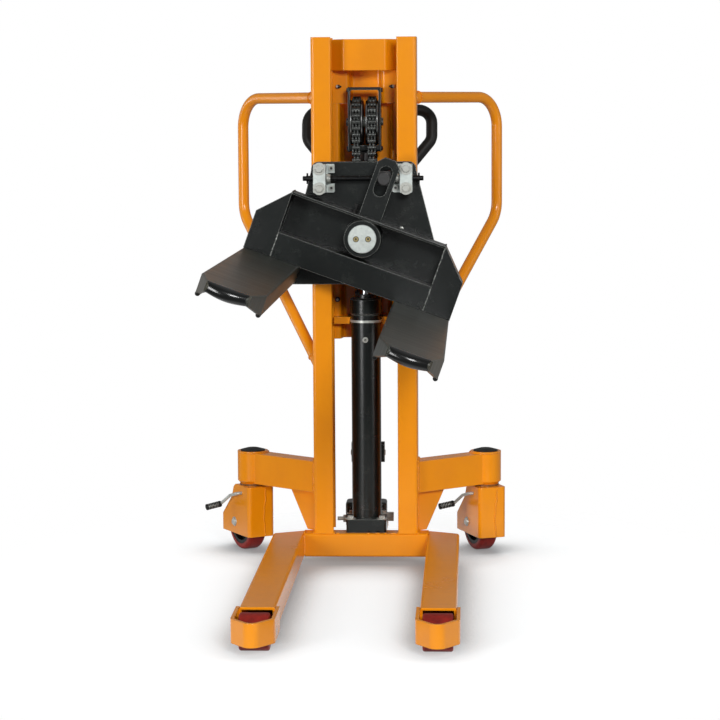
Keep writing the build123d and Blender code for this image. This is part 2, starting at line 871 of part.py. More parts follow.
with BuildPart() as pump_fittings:
    valve_y = pump_front + pump_round + valve_nut_size / 2
    valve_z = base_top + pump_height / 4
    with BuildSketch(Plane.YZ.offset(-pump_left)):
        with Locations((valve_y, valve_z)):
            RegularPolygon(valve_nut_size / 2, 6, major_radius=False)
    extrude(amount=-valve_nut_length)
    with BuildSketch(Plane.YZ.offset(-pump_left)):
        with Locations((valve_y, valve_z)):
            Circle(valve_radius)
    extrude(amount=-valve_length)
    with BuildSketch(Plane.YZ.offset(pump_right)):
        with Locations((pump_front + pump_round + plug_size / 2, base_top + pump_height / 3)):
            RegularPolygon(plug_size / 2, 6, major_radius=False)
    extrude(amount=plug_length)
    with Locations((0, tiller_y, tiller_height)):
        Cylinder(tiller_pin_radius, yoke_block_width + 2 * tiller_pin_head, rotation=(0, 90, 0))
save(pump_fittings.part, "pump_fittings")

with BuildPart() as plunger:
    plunger_top = tiller_height - cam_drop - cam_radius - plunger_gap
    with BuildSketch(Plane.XY.offset(plunger_top - plunger_cap_height)):
        with Locations((0, barrel_y)):
            Circle(plunger_cap_radius)
    extrude(amount=plunger_cap_height)
    with BuildSketch(Plane.XY.offset(plunger_top - plunger_length)):
        with Locations((0, barrel_y)):
            Circle(plunger_radius)
    extrude(amount=plunger_length)
save(plunger.part, "pump_plunger")

# Tiller: yoke over the pump lug, tube and hand loop
lean = radians(tiller_lean)
tiller_plane = Plane(origin=(0, tiller_y, tiller_height), x_dir=(1, 0, 0), z_dir=(0, -cos(lean), sin(lean)))
with BuildPart() as tiller:
    with BuildSketch(Plane.YZ):
        with Locations((tiller_y, tiller_height + (yoke_block_rise - yoke_block_drop) / 2)):
            RectangleRounded(yoke_block_depth, yoke_block_rise + yoke_block_drop, yoke_block_depth / 3)
    extrude(amount=yoke_block_width / 2, both=True)
    slot_width = lug_width + 2 * slide_clearance
    slot_radius = lug_radius + slide_clearance
    with BuildSketch(Plane.YZ):
        with Locations((tiller_y, tiller_height)):
            Circle(slot_radius)
        with Locations((tiller_y, tiller_height - yoke_block_drop)):
            Rectangle(4 * slot_radius, 2 * yoke_block_drop)
    extrude(amount=slot_width / 2, both=True, mode=Mode.SUBTRACT)
    cam_y = tiller_y + cam_rear
    cam_z = tiller_height - cam_drop
    arm_offset = slot_width / 2 + cam_arm_wall / 2
    for arm_side in sides.values():
        with BuildSketch(Plane.YZ.offset(arm_side * arm_offset)):
            with BuildLine():
                Polyline(
                    (tiller_y, tiller_height + cam_radius),
                    (cam_y, cam_z + cam_radius),
                    (cam_y, cam_z - cam_radius),
                    (tiller_y, cam_z - cam_radius),
                    close=True,
                )
            make_face()
            with Locations((cam_y, cam_z)):
                Circle(cam_radius)
        extrude(amount=cam_arm_wall / 2, both=True)
    with Locations((0, cam_y, cam_z)):
        Cylinder(cam_radius, slot_width + cam_arm_wall, rotation=(0, 90, 0))
    tube_plane = Plane(origin=(0, tiller_y, tiller_height), z_dir=(0, sin(lean), cos(lean)))
    with BuildSketch(tube_plane.offset(slot_radius)):
        Circle(tiller_tube_radius)
    extrude(amount=loop_foot - slot_radius)
    with BuildLine(tiller_plane) as loop:
        FilletPolyline(
            (0, loop_foot),
            (loop_foot_half, loop_foot),
            (loop_half_width, loop_side),
            (loop_half_width, loop_top),
            (0, loop_top),
            radius=loop_bend,
        )
    with BuildSketch(Plane(origin=loop.line @ 0, z_dir=loop.line % 0)):
        Circle(loop_radius)
    sweep()
    mirror(about=Plane.YZ)
    with Locations((0, tiller_y, tiller_height)):
        Cylinder(
            tiller_pin_radius + running_clearance,
            2 * yoke_block_width,
            rotation=(0, 90, 0),
            mode=Mode.SUBTRACT,
        )
save(tiller.part, "tiller")


# A pin of the chain at a distance from the carriage end: up the front, over the sheave, down the rear
def chain_pin(distance):
    front_run = chain_front_links * chain_pitch
    over_run = pi * chain_radius
    if distance <= front_run:
        return (chain_front_y, chain_front_end + distance)
    if distance <= front_run + over_run:
        angle = (distance - front_run) / chain_radius
        return (cylinder_y - chain_radius * cos(angle), sheave_axle_height + chain_radius * sin(angle))
    return (chain_rear_y, sheave_axle_height - (distance - front_run - over_run))


# Outline of one leaf plate between two pins, with blunt ends
def leaf_plate(start, end):
    along_y = (end[0] - start[0]) / chain_pitch
    along_z = (end[1] - start[1]) / chain_pitch
    middle_y = (start[0] + end[0]) / 2
    middle_z = (start[1] + end[1]) / 2
    shoulder = chain_pitch / 2 + chain_plate_half_height / 3
    tip = chain_pitch / 2 + chain_plate_half_height
    corners = [
        (tip, 0),
        (shoulder, chain_plate_half_height),
        (-shoulder, chain_plate_half_height),
        (-tip, 0),
        (-shoulder, -chain_plate_half_height),
        (shoulder, -chain_plate_half_height),
    ]
    return [
        (middle_y + run * along_y - rise * along_z, middle_z + run * along_z + rise * along_y)
        for run, rise in corners
    ]


over_links = int(pi * chain_radius / chain_pitch) + 1
head_links = chain_front_links + over_links + chain_rear_links


# Leaf chain laced two and three: odd links have two plates, even ones three
def leaf_chain(first_link, last_link, centre_x):
    with BuildPart() as chain:
        for layer in range(-2, 3):
            with BuildSketch(Plane.YZ.offset(centre_x + layer * chain_plate_wall)):
                for link in range(first_link, last_link):
                    if (link + layer) % 2 == 0:
                        start = chain_pin(link * chain_pitch)
                        end = chain_pin((link + 1) * chain_pitch)
                        Polygon(*leaf_plate(start, end), align=None)
            extrude(amount=chain_plate_wall / 2, both=True)
        with BuildSketch(Plane.YZ.offset(centre_x)):
            with Locations(*[chain_pin(pin * chain_pitch) for pin in range(first_link, last_link + 1)]):
                Circle(chain_pin_radius)
        extrude(amount=chain_pin_length / 2, both=True)
    return chain.part


with BuildPart() as lift_chains:
    for side in sides.values():
        add(leaf_chain(0, head_links, side * sheave_offset))
save(lift_chains.part, "lift_chains")

# Fixed ends of the chains on the saddle, with their clevises and threaded studs
with BuildPart() as fixed_chains:
    for side in sides.values():
        add(leaf_chain(head_links + 1, head_links + 1 + anchor_links, side * sheave_offset))
        clevis_bottom = chain_pin((head_links + 1 + anchor_links) * chain_pitch)[1] - clevis_drop
        with BuildSketch(Plane.XY.offset(clevis_bottom)):
            with Locations((side * sheave_offset, chain_rear_y)):
                Rectangle(clevis_width, clevis_depth)
        extrude(amount=clevis_drop + clevis_rise)
        with BuildSketch(Plane.XY.offset(saddle_top)):
            with Locations((side * sheave_offset, chain_rear_y)):
                Circle(stud_radius)
        extrude(amount=clevis_bottom - saddle_top)
save(fixed_chains.part, "fixed_chains")

# Ram: rod with its piston, and the head that carries the sheaves
with BuildPart() as rod:
    with BuildSketch(Plane.XY.offset(rod_foot)):
        with Locations((0, cylinder_y)):
            Circle(rod_radius)
    extrude(amount=head_bottom - rod_foot)
    with BuildSketch(Plane.XY.offset(rod_foot)):
        with Locations((0, cylinder_y)):
            Circle(cylinder_bore - running_clearance)
    extrude(amount=piston_height)
save(rod.part, "piston_rod")

with BuildPart() as head:
    head_height = head_top - head_bottom
    with Locations((0, cylinder_y, head_bottom + head_height / 2)):
        Box(2 * head_half, head_cheek_depth, head_height)
    fillet(head.edges().filter_by(Axis.X), bend_round)
    with BuildSketch(Plane.XZ.offset(-cylinder_y)):
        with Locations((0, (head_bottom + head_crosshead + head_top - head_top_wall) / 2)):
            RectangleRounded(
                2 * (head_half - head_cheek_wall), head_height - head_crosshead - head_top_wall, bend_round
            )
    extrude(amount=head_cheek_depth, both=True, mode=Mode.SUBTRACT)
    with Locations((0, cylinder_y, sheave_axle_height)):
        Cylinder(sheave_axle_radius, 2 * head_half + 2 * head_nut_length, rotation=(0, 90, 0))
    for start in (head_half, -head_half - head_nut_length):
        with BuildSketch(Plane.YZ.offset(start)):
            with Locations((cylinder_y, sheave_axle_height)):
                RegularPolygon(head_nut_size / 2, 6, major_radius=False)
        extrude(amount=head_nut_length)
save(head.part, "sheave_head")

for name, side in sides.items():
    with BuildPart() as sheave:
        tread_width = chain_pin_length + slide_clearance
        with BuildSketch(Plane.YZ.offset(side * sheave_offset)):
            with Locations((cylinder_y, sheave_axle_height)):
                Circle(sheave_flange_radius)
        extrude(amount=sheave_width / 2, both=True)
        with BuildSketch(Plane.YZ.offset(side * sheave_offset)):
            with Locations((cylinder_y, sheave_axle_height)):
                Circle(sheave_flange_radius)
                Circle(sheave_tread_radius, mode=Mode.SUBTRACT)
        extrude(amount=tread_width / 2, both=True, mode=Mode.SUBTRACT)
        with Locations((side * sheave_offset, cylinder_y, sheave_axle_height)):
            Cylinder(
                sheave_axle_radius + running_clearance,
                2 * sheave_width,
                rotation=(0, 90, 0),
                mode=Mode.SUBTRACT,
            )
    save(sheave.part, f"chain_sheave_{name}")

# Carriage: front plate, cheeks with roller stubs, chain anchor and pivot shaft
with BuildPart() as carriage_plate:
    with BuildSketch(front_plane(plate_rear_y)) as outline:
        Polygon(
            (-plate_bottom_half, plate_bottom),
            (plate_bottom_half, plate_bottom),
            (plate_top_half, plate_shoulder),
            (plate_top_half, plate_top),
            (-plate_top_half, plate_top),
            (-plate_top_half, plate_shoulder),
            align=None,
        )
        fillet(outline.vertices().group_by(Axis.Y)[-1], plate_round)
    extrude(amount=plate_wall)
save(carriage_plate.part, "carriage_plate")

with BuildPart() as carriage_frame:
    for side in sides.values():
        with BuildSketch(Plane.YZ.offset(side * (cheek_inner + cheek_wall / 2))):
            with Locations(((plate_rear_y + cheek_rear) / 2, (cheek_bottom + cheek_top) / 2)):
                Rectangle(cheek_rear - plate_rear_y, cheek_top - cheek_bottom)
        extrude(amount=cheek_wall / 2, both=True)
        with BuildSketch(Plane.YZ.offset(side * (cheek_inner + cheek_wall))):
            with Locations(*[(mast_depth / 2, height) for height in roller_heights.values()]):
                Circle(roller_axle_radius)
        extrude(amount=side * (roller_spacer + roller_width))
        with BuildSketch(Plane.YZ.offset(side * (cheek_inner + cheek_wall))):
            with Locations(*[(mast_depth / 2, height) for height in roller_heights.values()]):
                Circle(roller_axle_radius + stub_collar_wall)
        extrude(amount=side * (roller_spacer - slide_clearance))
    anchor_top = chain_front_end - chain_plate_half_height - part_gap
    with Locations((0, plate_rear_y + anchor_depth / 2, anchor_top - anchor_height / 2)):
        Box(anchor_width, anchor_depth, anchor_height)
    with BuildSketch(front_plane(plate_front_y)):
        with Locations((0, pivot_height)):
            Circle(pivot_radius)
    extrude(amount=plate_front_y - cap_rear_y)
save(carriage_frame.part, "carriage_frame")

with BuildPart() as pivot_cap:
    with BuildSketch(front_plane(cap_rear_y)):
        with Locations((0, pivot_height)):
            Circle(pivot_cap_radius)
    extrude(amount=pivot_cap_wall)
    fillet(pivot_cap.edges().group_by(Axis.Y)[0], pivot_cap_round)
save(pivot_cap.part, "pivot_cap")

for name, height in roller_heights.items():
    with BuildPart() as guide_rollers:
        for side in sides.values():
            with BuildSketch(Plane.YZ.offset(side * (roller_inner + roller_width / 2))):
                with Locations((mast_depth / 2, height)):
                    Circle(roller_radius)
            extrude(amount=roller_width / 2, both=True)
        fillet(guide_rollers.edges().filter_by(GeomType.CIRCLE), roller_round)
        with Locations((0, mast_depth / 2, height)):
            Cylinder(
                roller_axle_radius + running_clearance, mast_width, rotation=(0, 90, 0), mode=Mode.SUBTRACT
            )
    save(guide_rollers.part, f"{name}_guide_rollers")

# Bearing blocks of the tilt screw, with their bolts
with BuildPart() as blocks:
    block_width = block_outer - block_inner
    block_foot_width = block_outer - block_lug_inner
    for side in sides.values():
        with BuildSketch(front_plane(plate_front_y)):
            with Locations((side * (block_inner + block_outer) / 2, spindle_height)):
                RectangleRounded(block_width, block_height, block_round)
        extrude(amount=block_depth)
        with BuildSketch(front_plane(plate_front_y)):
            with Locations((side * (block_lug_inner + block_outer) / 2, spindle_height)):
                RectangleRounded(block_foot_width, block_height, block_round)
            with Locations((side * (block_lug_inner + block_notch_width / 2), spindle_height)):
                Rectangle(block_notch_width, block_notch_height, mode=Mode.SUBTRACT)
        extrude(amount=block_lug_wall)
    with Locations((0, spindle_y, spindle_height)):
        Cylinder(
            spindle_radius + running_clearance, 4 * block_outer, rotation=(0, 90, 0), mode=Mode.SUBTRACT
        )
save(blocks.part, "spindle_bearings")

with BuildPart() as carriage_bolts:
    bolt_rise = block_height / 2 - block_bolt_inset
    block_middle = (block_inner + block_outer) / 2
    lug_screw_x = block_lug_inner + lug_screw_inset
    with BuildSketch(front_plane(block_front_y)):
        with Locations((0, spindle_height)):
            with GridLocations(2 * block_middle, 2 * bolt_rise, 2, 2):
                RegularPolygon(block_bolt_size / 2, 6, major_radius=False)
    extrude(amount=block_bolt_head)
    with BuildSketch(front_plane(plate_front_y - block_lug_wall)):
        with Locations((0, spindle_height)):
            with GridLocations(2 * lug_screw_x, 2 * bolt_rise, 2, 2):
                Circle(lug_screw_radius)
    extrude(amount=lug_screw_head)
    with BuildSketch(front_plane(plate_front_y)):
        with Locations((plate_bolt_x, plate_bolt_height), (-plate_bolt_x, plate_bolt_height)):
            RegularPolygon(plate_bolt_size / 2, 6, major_radius=False)
    extrude(amount=plate_bolt_head)
    with BuildSketch(front_plane(cap_front_y)):
        with Locations((-cap_screw_offset, pivot_height), (cap_screw_offset, pivot_height)):
            Circle(cap_screw_radius)
    extrude(amount=cap_screw_head)
save(carriage_bolts.part, "carriage_bolts")

with BuildPart() as spindle:
    with Locations((0, spindle_y, spindle_height)):
        Cylinder(spindle_radius, 2 * (spindle_half_length - spindle_end_length), rotation=(0, 90, 0))
        Cylinder(spindle_end_radius, 2 * spindle_half_length, rotation=(0, 90, 0))
    collar_x = block_inner - slide_clearance - collar_width / 2
    for side in sides.values():
        with Locations((side * collar_x, spindle_y, spindle_height)):
            Cylinder(collar_radius, collar_width, rotation=(0, 90, 0))
        with Locations((side * (spindle_half_length - cross_pin_inset), spindle_y, spindle_height)):
            Cylinder(cross_pin_radius, cross_pin_length)
save(spindle.part, "tilt_spindle")

with BuildPart() as nut:
    with Locations((nut_x, spindle_y, spindle_height)):
        Box(nut_width, nut_depth, nut_height)
    with BuildSketch(front_plane(spindle_y)):
        with Locations((nut_x, spindle_height)):
            Circle(nut_boss_radius)
    extrude(amount=spindle_y - lever_front_y + nut_boss_proud)
    with Locations((nut_x, spindle_y, spindle_height)):
        Cylinder(spindle_radius + running_clearance, 2 * nut_width, rotation=(0, 90, 0), mode=Mode.SUBTRACT)
save(nut.part, "tilt_nut")

# Tilting frame: back panel, flange and beam, end boxes, hub and lever
with BuildPart() as back_panel:
    with BuildSketch(tilt_plane(frame_rear_y)):
        with Locations((0, (frame_top - frame_bottom) / 2)):
            Rectangle(2 * frame_half, frame_top + frame_bottom)
        Circle(hub_radius, mode=Mode.SUBTRACT)
    extrude(amount=frame_panel_wall)
save(back_panel.part, "tilt_back_panel")

with BuildPart() as beams:
    panel_face_y = frame_rear_y - frame_panel_wall
    rail_depth = frame_depth - frame_panel_wall
    with BuildSketch(tilt_plane(panel_face_y)):
        with Locations((0, frame_top - frame_flange_wall / 2)):
            Rectangle(2 * frame_half, frame_flange_wall)
        with Locations((0, -frame_bottom + beam_height / 2)):
            Rectangle(2 * frame_half, beam_height)
    extrude(amount=rail_depth)
    with BuildSketch(tilt_plane(panel_face_y - beam_wall)):
        with Locations((0, -frame_bottom + beam_height / 2)):
            Rectangle(2 * frame_half, beam_height - 2 * beam_wall)
    extrude(amount=rail_depth - 2 * beam_wall, mode=Mode.SUBTRACT)
save(beams.part, "tilt_beams")

for name, side in sides.items():
    with BuildPart() as end_box:
        with BuildSketch(tilt_plane(frame_rear_y)):
            Polygon(
                (side * frame_half, frame_top),
                (side * end_box_half, -end_box_corner),
                (side * end_box_half, -frame_bottom),
                (side * frame_half, -frame_bottom),
                align=None,
            )
        extrude(amount=frame_depth)
        with BuildSketch(tilt_plane(frame_rear_y)) as hollow_outline:
            Polygon(
                (side * frame_half, frame_top),
                (side * end_box_half, -end_box_corner),
                (side * end_box_half, -frame_bottom),
                (side * frame_half, -frame_bottom),
                align=None,
            )
            offset(amount=-end_box_wall, kind=Kind.INTERSECTION, mode=Mode.REPLACE)
        extrude(amount=frame_depth - end_box_wall, mode=Mode.SUBTRACT)
    save(end_box.part, f"end_box_{name}")

with BuildPart() as pivot_hub:
    with BuildSketch(tilt_plane(frame_rear_y)):
        Circle(hub_radius)
        Circle(pivot_radius + running_clearance, mode=Mode.SUBTRACT)
    extrude(amount=frame_depth)
save(pivot_hub.part, "pivot_hub")

with BuildPart() as lever:
    slot_half = nut_boss_radius + slide_clearance
    with BuildSketch(tilt_plane(lever_rear_y)):
        with BuildLine():
            Polyline(
                (-lever_width / 2, frame_top),
                (lever_width / 2, frame_top),
                (lever_width / 2, lever_top - lever_chamfer),
                (lever_width / 2 - lever_chamfer, lever_top),
                (-lever_width / 2 + lever_chamfer, lever_top),
                (-lever_width / 2, lever_top - lever_chamfer),
                close=True,
            )
        make_face()
        with Locations((0, (slot_bottom + slot_top) / 2)):
            SlotOverall(slot_top - slot_bottom, 2 * slot_half, rotation=90, mode=Mode.SUBTRACT)
    extrude(amount=lever_wall)
    rib_offset = (lever_width - rib_wall) / 2
    for side in sides.values():
        rib_plane = Plane(
            origin=tilt_plane(lever_rear_y).from_local_coords(Vector(side * rib_offset, 0, 0)),
            x_dir=(0, 1, 0),
            z_dir=tilt_right,
        )
        with BuildSketch(rib_plane):
            Polygon((0, frame_top), (rib_depth, frame_top), (0, frame_top + rib_height), align=None)
        extrude(amount=rib_wall / 2, both=True)
save(lever.part, "tilt_lever")

# Forks: inverted channels with folded top edges, tapered noses that end in a round bar, and round bars along
# the lower edges; the frame stands in a shallow seat
for name, side in sides.items():
    fork_plane = Plane(
        origin=tilt_plane(0).from_local_coords(Vector(side * leg_offset, fork_seat - frame_bottom, 0)),
        x_dir=tilt_right,
        z_dir=tilt_down,
    )
    nose_plane = Plane(origin=fork_plane.origin, x_dir=(0, -1, 0), z_dir=tilt_right)
    half = fork_width / 2
    nose_half = half - fork_taper
    nose_start = fork_tip - fork_nose_radius
    nose_depth = 2 * fork_nose_radius
    taper_start = nose_start - fork_taper_length
    with BuildPart() as fork:
        with BuildSketch(fork_plane):
            Polygon(
                (-half, -frame_rear_y),
                (half, -frame_rear_y),
                (half, taper_start),
                (nose_half, nose_start),
                (-nose_half, nose_start),
                (-half, taper_start),
                align=None,
            )
        extrude(amount=fork_height)
        top_edges = fork.faces().sort_by(Axis((0, 0, 0), tilt_down))[0].edges()
        folds = [edge for edge in top_edges if abs(fork_plane.to_local_coords(edge.center()).X) > half / 2]
        fillet(folds, fork_fold)
        with BuildSketch(fork_plane.offset(fork_wall)):
            Polygon(
                (-half + fork_wall, 0),
                (half - fork_wall, 0),
                (half - fork_wall, taper_start),
                (nose_half - fork_wall, nose_start),
                (-nose_half + fork_wall, nose_start),
                (-half + fork_wall, taper_start),
                align=None,
            )
        extrude(amount=fork_height, mode=Mode.SUBTRACT)
        with BuildSketch(nose_plane):
            Polygon(
                (taper_start, fork_height),
                (nose_start, nose_depth),
                (fork_tip, nose_depth),
                (fork_tip, 2 * fork_height),
                (taper_start, 2 * fork_height),
                align=None,
            )
        extrude(amount=fork_width, both=True, mode=Mode.SUBTRACT)
        with BuildSketch(nose_plane):
            with BuildLine():
                Polyline(
                    (nose_start, nose_depth),
                    (nose_start - fork_wall, nose_depth),
                    (nose_start - fork_wall, 0),
                    (nose_start, 0),
                )
                ThreePointArc((nose_start, 0), (fork_tip, fork_nose_radius), (nose_start, nose_depth))
            make_face()
        extrude(amount=nose_half - fork_fold, both=True)
        with BuildSketch(fork_plane):
            with Locations((0, -(frame_rear_y + frame_front_y) / 2)):
                Rectangle(fork_width, frame_depth)
        extrude(amount=fork_seat, mode=Mode.SUBTRACT)
        bar_plane = Plane(origin=(0, frame_rear_y, 0), x_dir=(1, 0, 0), z_dir=(0, -1, 0))
        bar_offset = half - edge_bar_radius
        for edge in sides.values():
            bar_centre = fork_plane.from_local_coords(Vector(edge * bar_offset, 0, fork_height))
            with BuildSketch(bar_plane):
                with Locations((bar_centre.X, bar_centre.Z)):
                    Circle(edge_bar_radius)
            extrude(amount=taper_start + frame_rear_y)
    save(fork.part, f"fork_{name}")
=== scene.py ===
import json
from math import cos, pi, radians, sin, tan, tau

import bmesh
import bpy
from mathutils import Matrix, Vector


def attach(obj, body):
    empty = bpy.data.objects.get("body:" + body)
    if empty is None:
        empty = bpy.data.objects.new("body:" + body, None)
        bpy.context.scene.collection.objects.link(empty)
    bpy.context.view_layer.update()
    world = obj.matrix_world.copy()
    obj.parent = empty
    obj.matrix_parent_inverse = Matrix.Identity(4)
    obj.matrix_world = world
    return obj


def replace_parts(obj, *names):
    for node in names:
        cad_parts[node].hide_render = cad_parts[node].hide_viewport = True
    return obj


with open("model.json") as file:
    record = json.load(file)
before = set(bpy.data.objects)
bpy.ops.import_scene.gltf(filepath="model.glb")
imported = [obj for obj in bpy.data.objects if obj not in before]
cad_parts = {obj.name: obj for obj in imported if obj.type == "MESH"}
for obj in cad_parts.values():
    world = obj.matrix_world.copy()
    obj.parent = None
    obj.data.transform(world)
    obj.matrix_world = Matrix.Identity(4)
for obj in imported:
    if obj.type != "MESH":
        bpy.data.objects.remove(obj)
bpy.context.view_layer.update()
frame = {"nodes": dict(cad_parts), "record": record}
print("frame loaded,", len(frame["nodes"]), "nodes")

xWay, yWay, zWay = Vector((1, 0, 0)), Vector((0, 1, 0)), Vector((0, 0, 1))
bothSides = {"Left": -1, "Right": 1}
squareCorners = ((-1, -1), (1, -1), (1, 1), (-1, 1))

# the tilting frame leans to the right at rest: its pivot and fork places in millimetres, its own directions
tiltFrame = {"pivotZ": 837.5, "slant": 19.87, "forkAt": 197.0}
slant = radians(tiltFrame["slant"])
along, square = Vector((cos(slant), 0, -sin(slant))), Vector((sin(slant), 0, cos(slant)))


class Wire:  # a socket that takes part in sums
    def __init__(self, finish, socket):
        self.finish = finish
        self.socket = socket

    def calc(self, operation, *values):
        return self.finish.node("ShaderNodeMath", {"operation": operation}, dict(enumerate(values)))

    def __add__(self, other):
        return self.calc("ADD", self, other)

    def __radd__(self, other):
        return self.calc("ADD", other, self)

    def __sub__(self, other):
        return self.calc("SUBTRACT", self, other)

    def __rsub__(self, other):
        return self.calc("SUBTRACT", other, self)

    def __mul__(self, other):
        return self.calc("MULTIPLY", self, other)

    def __rmul__(self, other):
        return self.calc("MULTIPLY", other, self)

    def __abs__(self):
        return self.calc("ABSOLUTE", self)

    def limited(self):  # kept between 0 and 1
        return self.finish.node("ShaderNodeClamp", {}, {"Value": self})


class Finish:  # the wires of a material, or of the world
    edgeGain = 3.4  # how soon a turn of the rounded normal counts as an edge

    def __init__(self, owner):
        owner.use_nodes = True
        self.owner = owner
        self.tree = owner.node_tree
        self.tree.nodes.clear()

    def node(self, kind, settings=None, sockets=None, out=0):
        made = self.tree.nodes.new(kind)
        for key, value in (settings or {}).items():
            setattr(made, key, value)
        for key, value in (sockets or {}).items():
            if isinstance(value, Wire):
                self.tree.links.new(value.socket, made.inputs[key])
            else:
                made.inputs[key].default_value = value
        return Wire(self, made.outputs[out]) if made.outputs else None

    def vector(self, operation, *values, out="Vector"):
        return self.node("ShaderNodeVectorMath", {"operation": operation}, dict(enumerate(values)), out)

    def part(self, vector, way):  # X, Y or Z of a vector
        return self.node("ShaderNodeSeparateXYZ", {}, {0: vector}, way)

    def place(self, stretch=(1, 1, 1)):
        return self.vector("MULTIPLY", self.node("ShaderNodeTexCoord", out="Object"), stretch)

    def noise(self, scale, detail=2.0, rough=0.5, stretch=(1, 1, 1)):
        sockets = {"Vector": self.place(stretch), "Scale": scale, "Detail": detail, "Roughness": rough}
        return self.node("ShaderNodeTexNoise", {}, sockets)

    def cells(self, scale):  # one chance colour for each cell
        return self.node("ShaderNodeTexVoronoi", {}, {"Vector": self.place(), "Scale": scale}, "Color")

    def fade(self, value, low, high):  # 0 at low, 1 at high, smooth between
        sockets = {"Value": value, "From Min": low, "From Max": high}
        return self.node("ShaderNodeMapRange", {"interpolation_type": "SMOOTHSTEP"}, sockets)

    def mix(self, share, first, second):  # the numbers are the Mix node's colour sockets
        return self.node("ShaderNodeMix", {"data_type": "RGBA"}, {0: share, 6: first, 7: second}, 2)

    def grey(self, value):
        return self.node("ShaderNodeCombineXYZ", {}, {0: value, 1: value, 2: value})

    def facing(self):
        return self.node("ShaderNodeNewGeometry", out="Normal")

    def upward(self):  # 1 on level tops, 0 on upright faces
        return self.part(self.facing(), "Z").limited()

    def edges(self, radius):  # a rounded normal, and how near the surface is to an edge
        rounded = self.node("ShaderNodeBevel", {"samples": 4}, {"Radius": radius})
        turn = self.vector("DOT_PRODUCT", rounded, self.facing(), out="Value")
        return rounded, ((1 - turn) * self.edgeGain).limited()

    def bump(self, height, distance, normal):
        return self.node("ShaderNodeBump", {}, {
            "Height": height, "Distance": distance, "Strength": 1.0, "Normal": normal,
        })

    def rays(self, *kinds):  # 1 for a ray of one of these kinds
        return sum(self.node("ShaderNodeLightPath", out=kind) for kind in kinds).limited()

    def close(self, sockets):
        shader = self.node("ShaderNodeBsdfPrincipled", {}, sockets)
        self.node("ShaderNodeOutputMaterial", {}, {"Surface": shader})
        return self.owner


def tone(red, green, blue):  # a screen colour from 0 to 255, as Blender's linear colour
    linear = []
    for level in (red / 255, green / 255, blue / 255):
        linear.append(level / 12.92 if level < 0.04045 else ((level + 0.055) / 1.055) ** 2.4)
    return (*linear, 1.0)


def sprayedPaint(name, look):  # a sprayed coat with fine peel, blotches, dust, smears, and paler edges that are partly rubbed wear and partly a painted highlight
    paint = Finish(bpy.data.materials.new(name))
    rounded, edge = paint.edges(look["edge"])
    blotch = paint.noise(look["blotchScale"], detail=4.0, rough=0.6)
    rubbed = paint.noise(look["rubScale"], detail=5.0, rough=0.65)
    # edge mask: rubbed wear, and also a painted highlight along the edges
    wearAndHighlight = paint.fade(edge * look["wearAndHighlightGain"] - rubbed, *look["wearAndHighlightSpan"])
    dust = paint.fade(paint.noise(look["dustScale"], detail=5.0, rough=0.6), *look["dustSpan"])
    smear = paint.fade(paint.noise(look["smearScale"], detail=6.0, rough=0.7), *look["smearSpan"])
    blotched = paint.fade(blotch, *look["blotchSpan"]) * look["blotch"]
    colour = paint.mix(blotched, look["colour"], look["shade"])
    colour = paint.mix(paint.upward() * dust * look["dust"], colour, look["dustColour"])
    colour = paint.mix(smear * look["smear"], colour, look["smearColour"])
    # the paler edge colour is partly wear and partly a painted highlight
    colour = paint.mix(wearAndHighlight * look["wearAndHighlightShare"], colour, look["wearAndHighlight"])
    wave = paint.noise(look["peelScale"] * look["waveRatio"])
    peel = paint.noise(look["peelScale"], detail=1.0) + look["waveShare"] * wave
    rough = look["rough"] + (blotch - 0.5) * look["roughSpread"]
    rough = rough + paint.upward() * look["topRough"] + wearAndHighlight * look["wornRough"]
    return paint.close({
        "Base Color": colour, "Roughness": rough, "Metallic": wearAndHighlight * look["wornMetal"],
        "Normal": paint.bump(peel, look["peelDepth"], rounded), "Specular IOR Level": look["specular"],
    })


orangePaint = {
    "colour": tone(246, 152, 12), "shade": tone(238, 142, 10),
    "blotch": 0.5, "blotchScale": 9.0, "blotchSpan": (0.3, 0.7),
    # edges: a paler orange, partly rubbed wear and partly a painted highlight
    "edge": 0.003, "wearAndHighlightGain": 0.9, "rubScale": 260.0, "wearAndHighlightSpan": (0.05, 0.3), "wearAndHighlight": tone(252, 186, 84),
    "wearAndHighlightShare": 0.4, "wornMetal": 0.0, "wornRough": 0.12,
    "dust": 0.08, "dustScale": 60.0, "dustSpan": (0.35, 0.75), "dustColour": tone(150, 108, 62),
    "smear": 0.12, "smearScale": 18.0, "smearSpan": (0.5, 0.72), "smearColour": tone(226, 142, 40),
    "peelScale": 900.0, "peelDepth": 0.00005, "waveRatio": 0.31, "waveShare": 0.5,
    "rough": 0.2, "roughSpread": 0.08, "topRough": 0.06, "specular": 0.4,
}
blackPaint = dict(
    orangePaint, colour=tone(18, 23, 22), shade=tone(12, 16, 15), blotch=0.8, blotchScale=14.0,
    # edges: a pale grey, partly worn paint and partly a painted highlight
    edge=0.0028, wearAndHighlightGain=2.3, rubScale=340.0, wearAndHighlight=tone(172, 174, 168), wearAndHighlightShare=0.8, wornMetal=0.3,
    dust=0.16, dustScale=90.0, dustColour=tone(70, 68, 62),
    smear=0.22, smearScale=24.0, smearColour=tone(66, 69, 65),
    peelScale=1100.0, peelDepth=0.00008, rough=0.25, roughSpread=0.12, topRough=0.1,
)
glossBlack = dict(
    blackPaint, colour=tone(12, 13, 13), shade=tone(8, 9, 9), wearAndHighlightShare=0.2, dust=0.0, smear=0.0,
    peelDepth=0.00001, rough=0.2, roughSpread=0.04, topRough=0.0, specular=0.5,
)


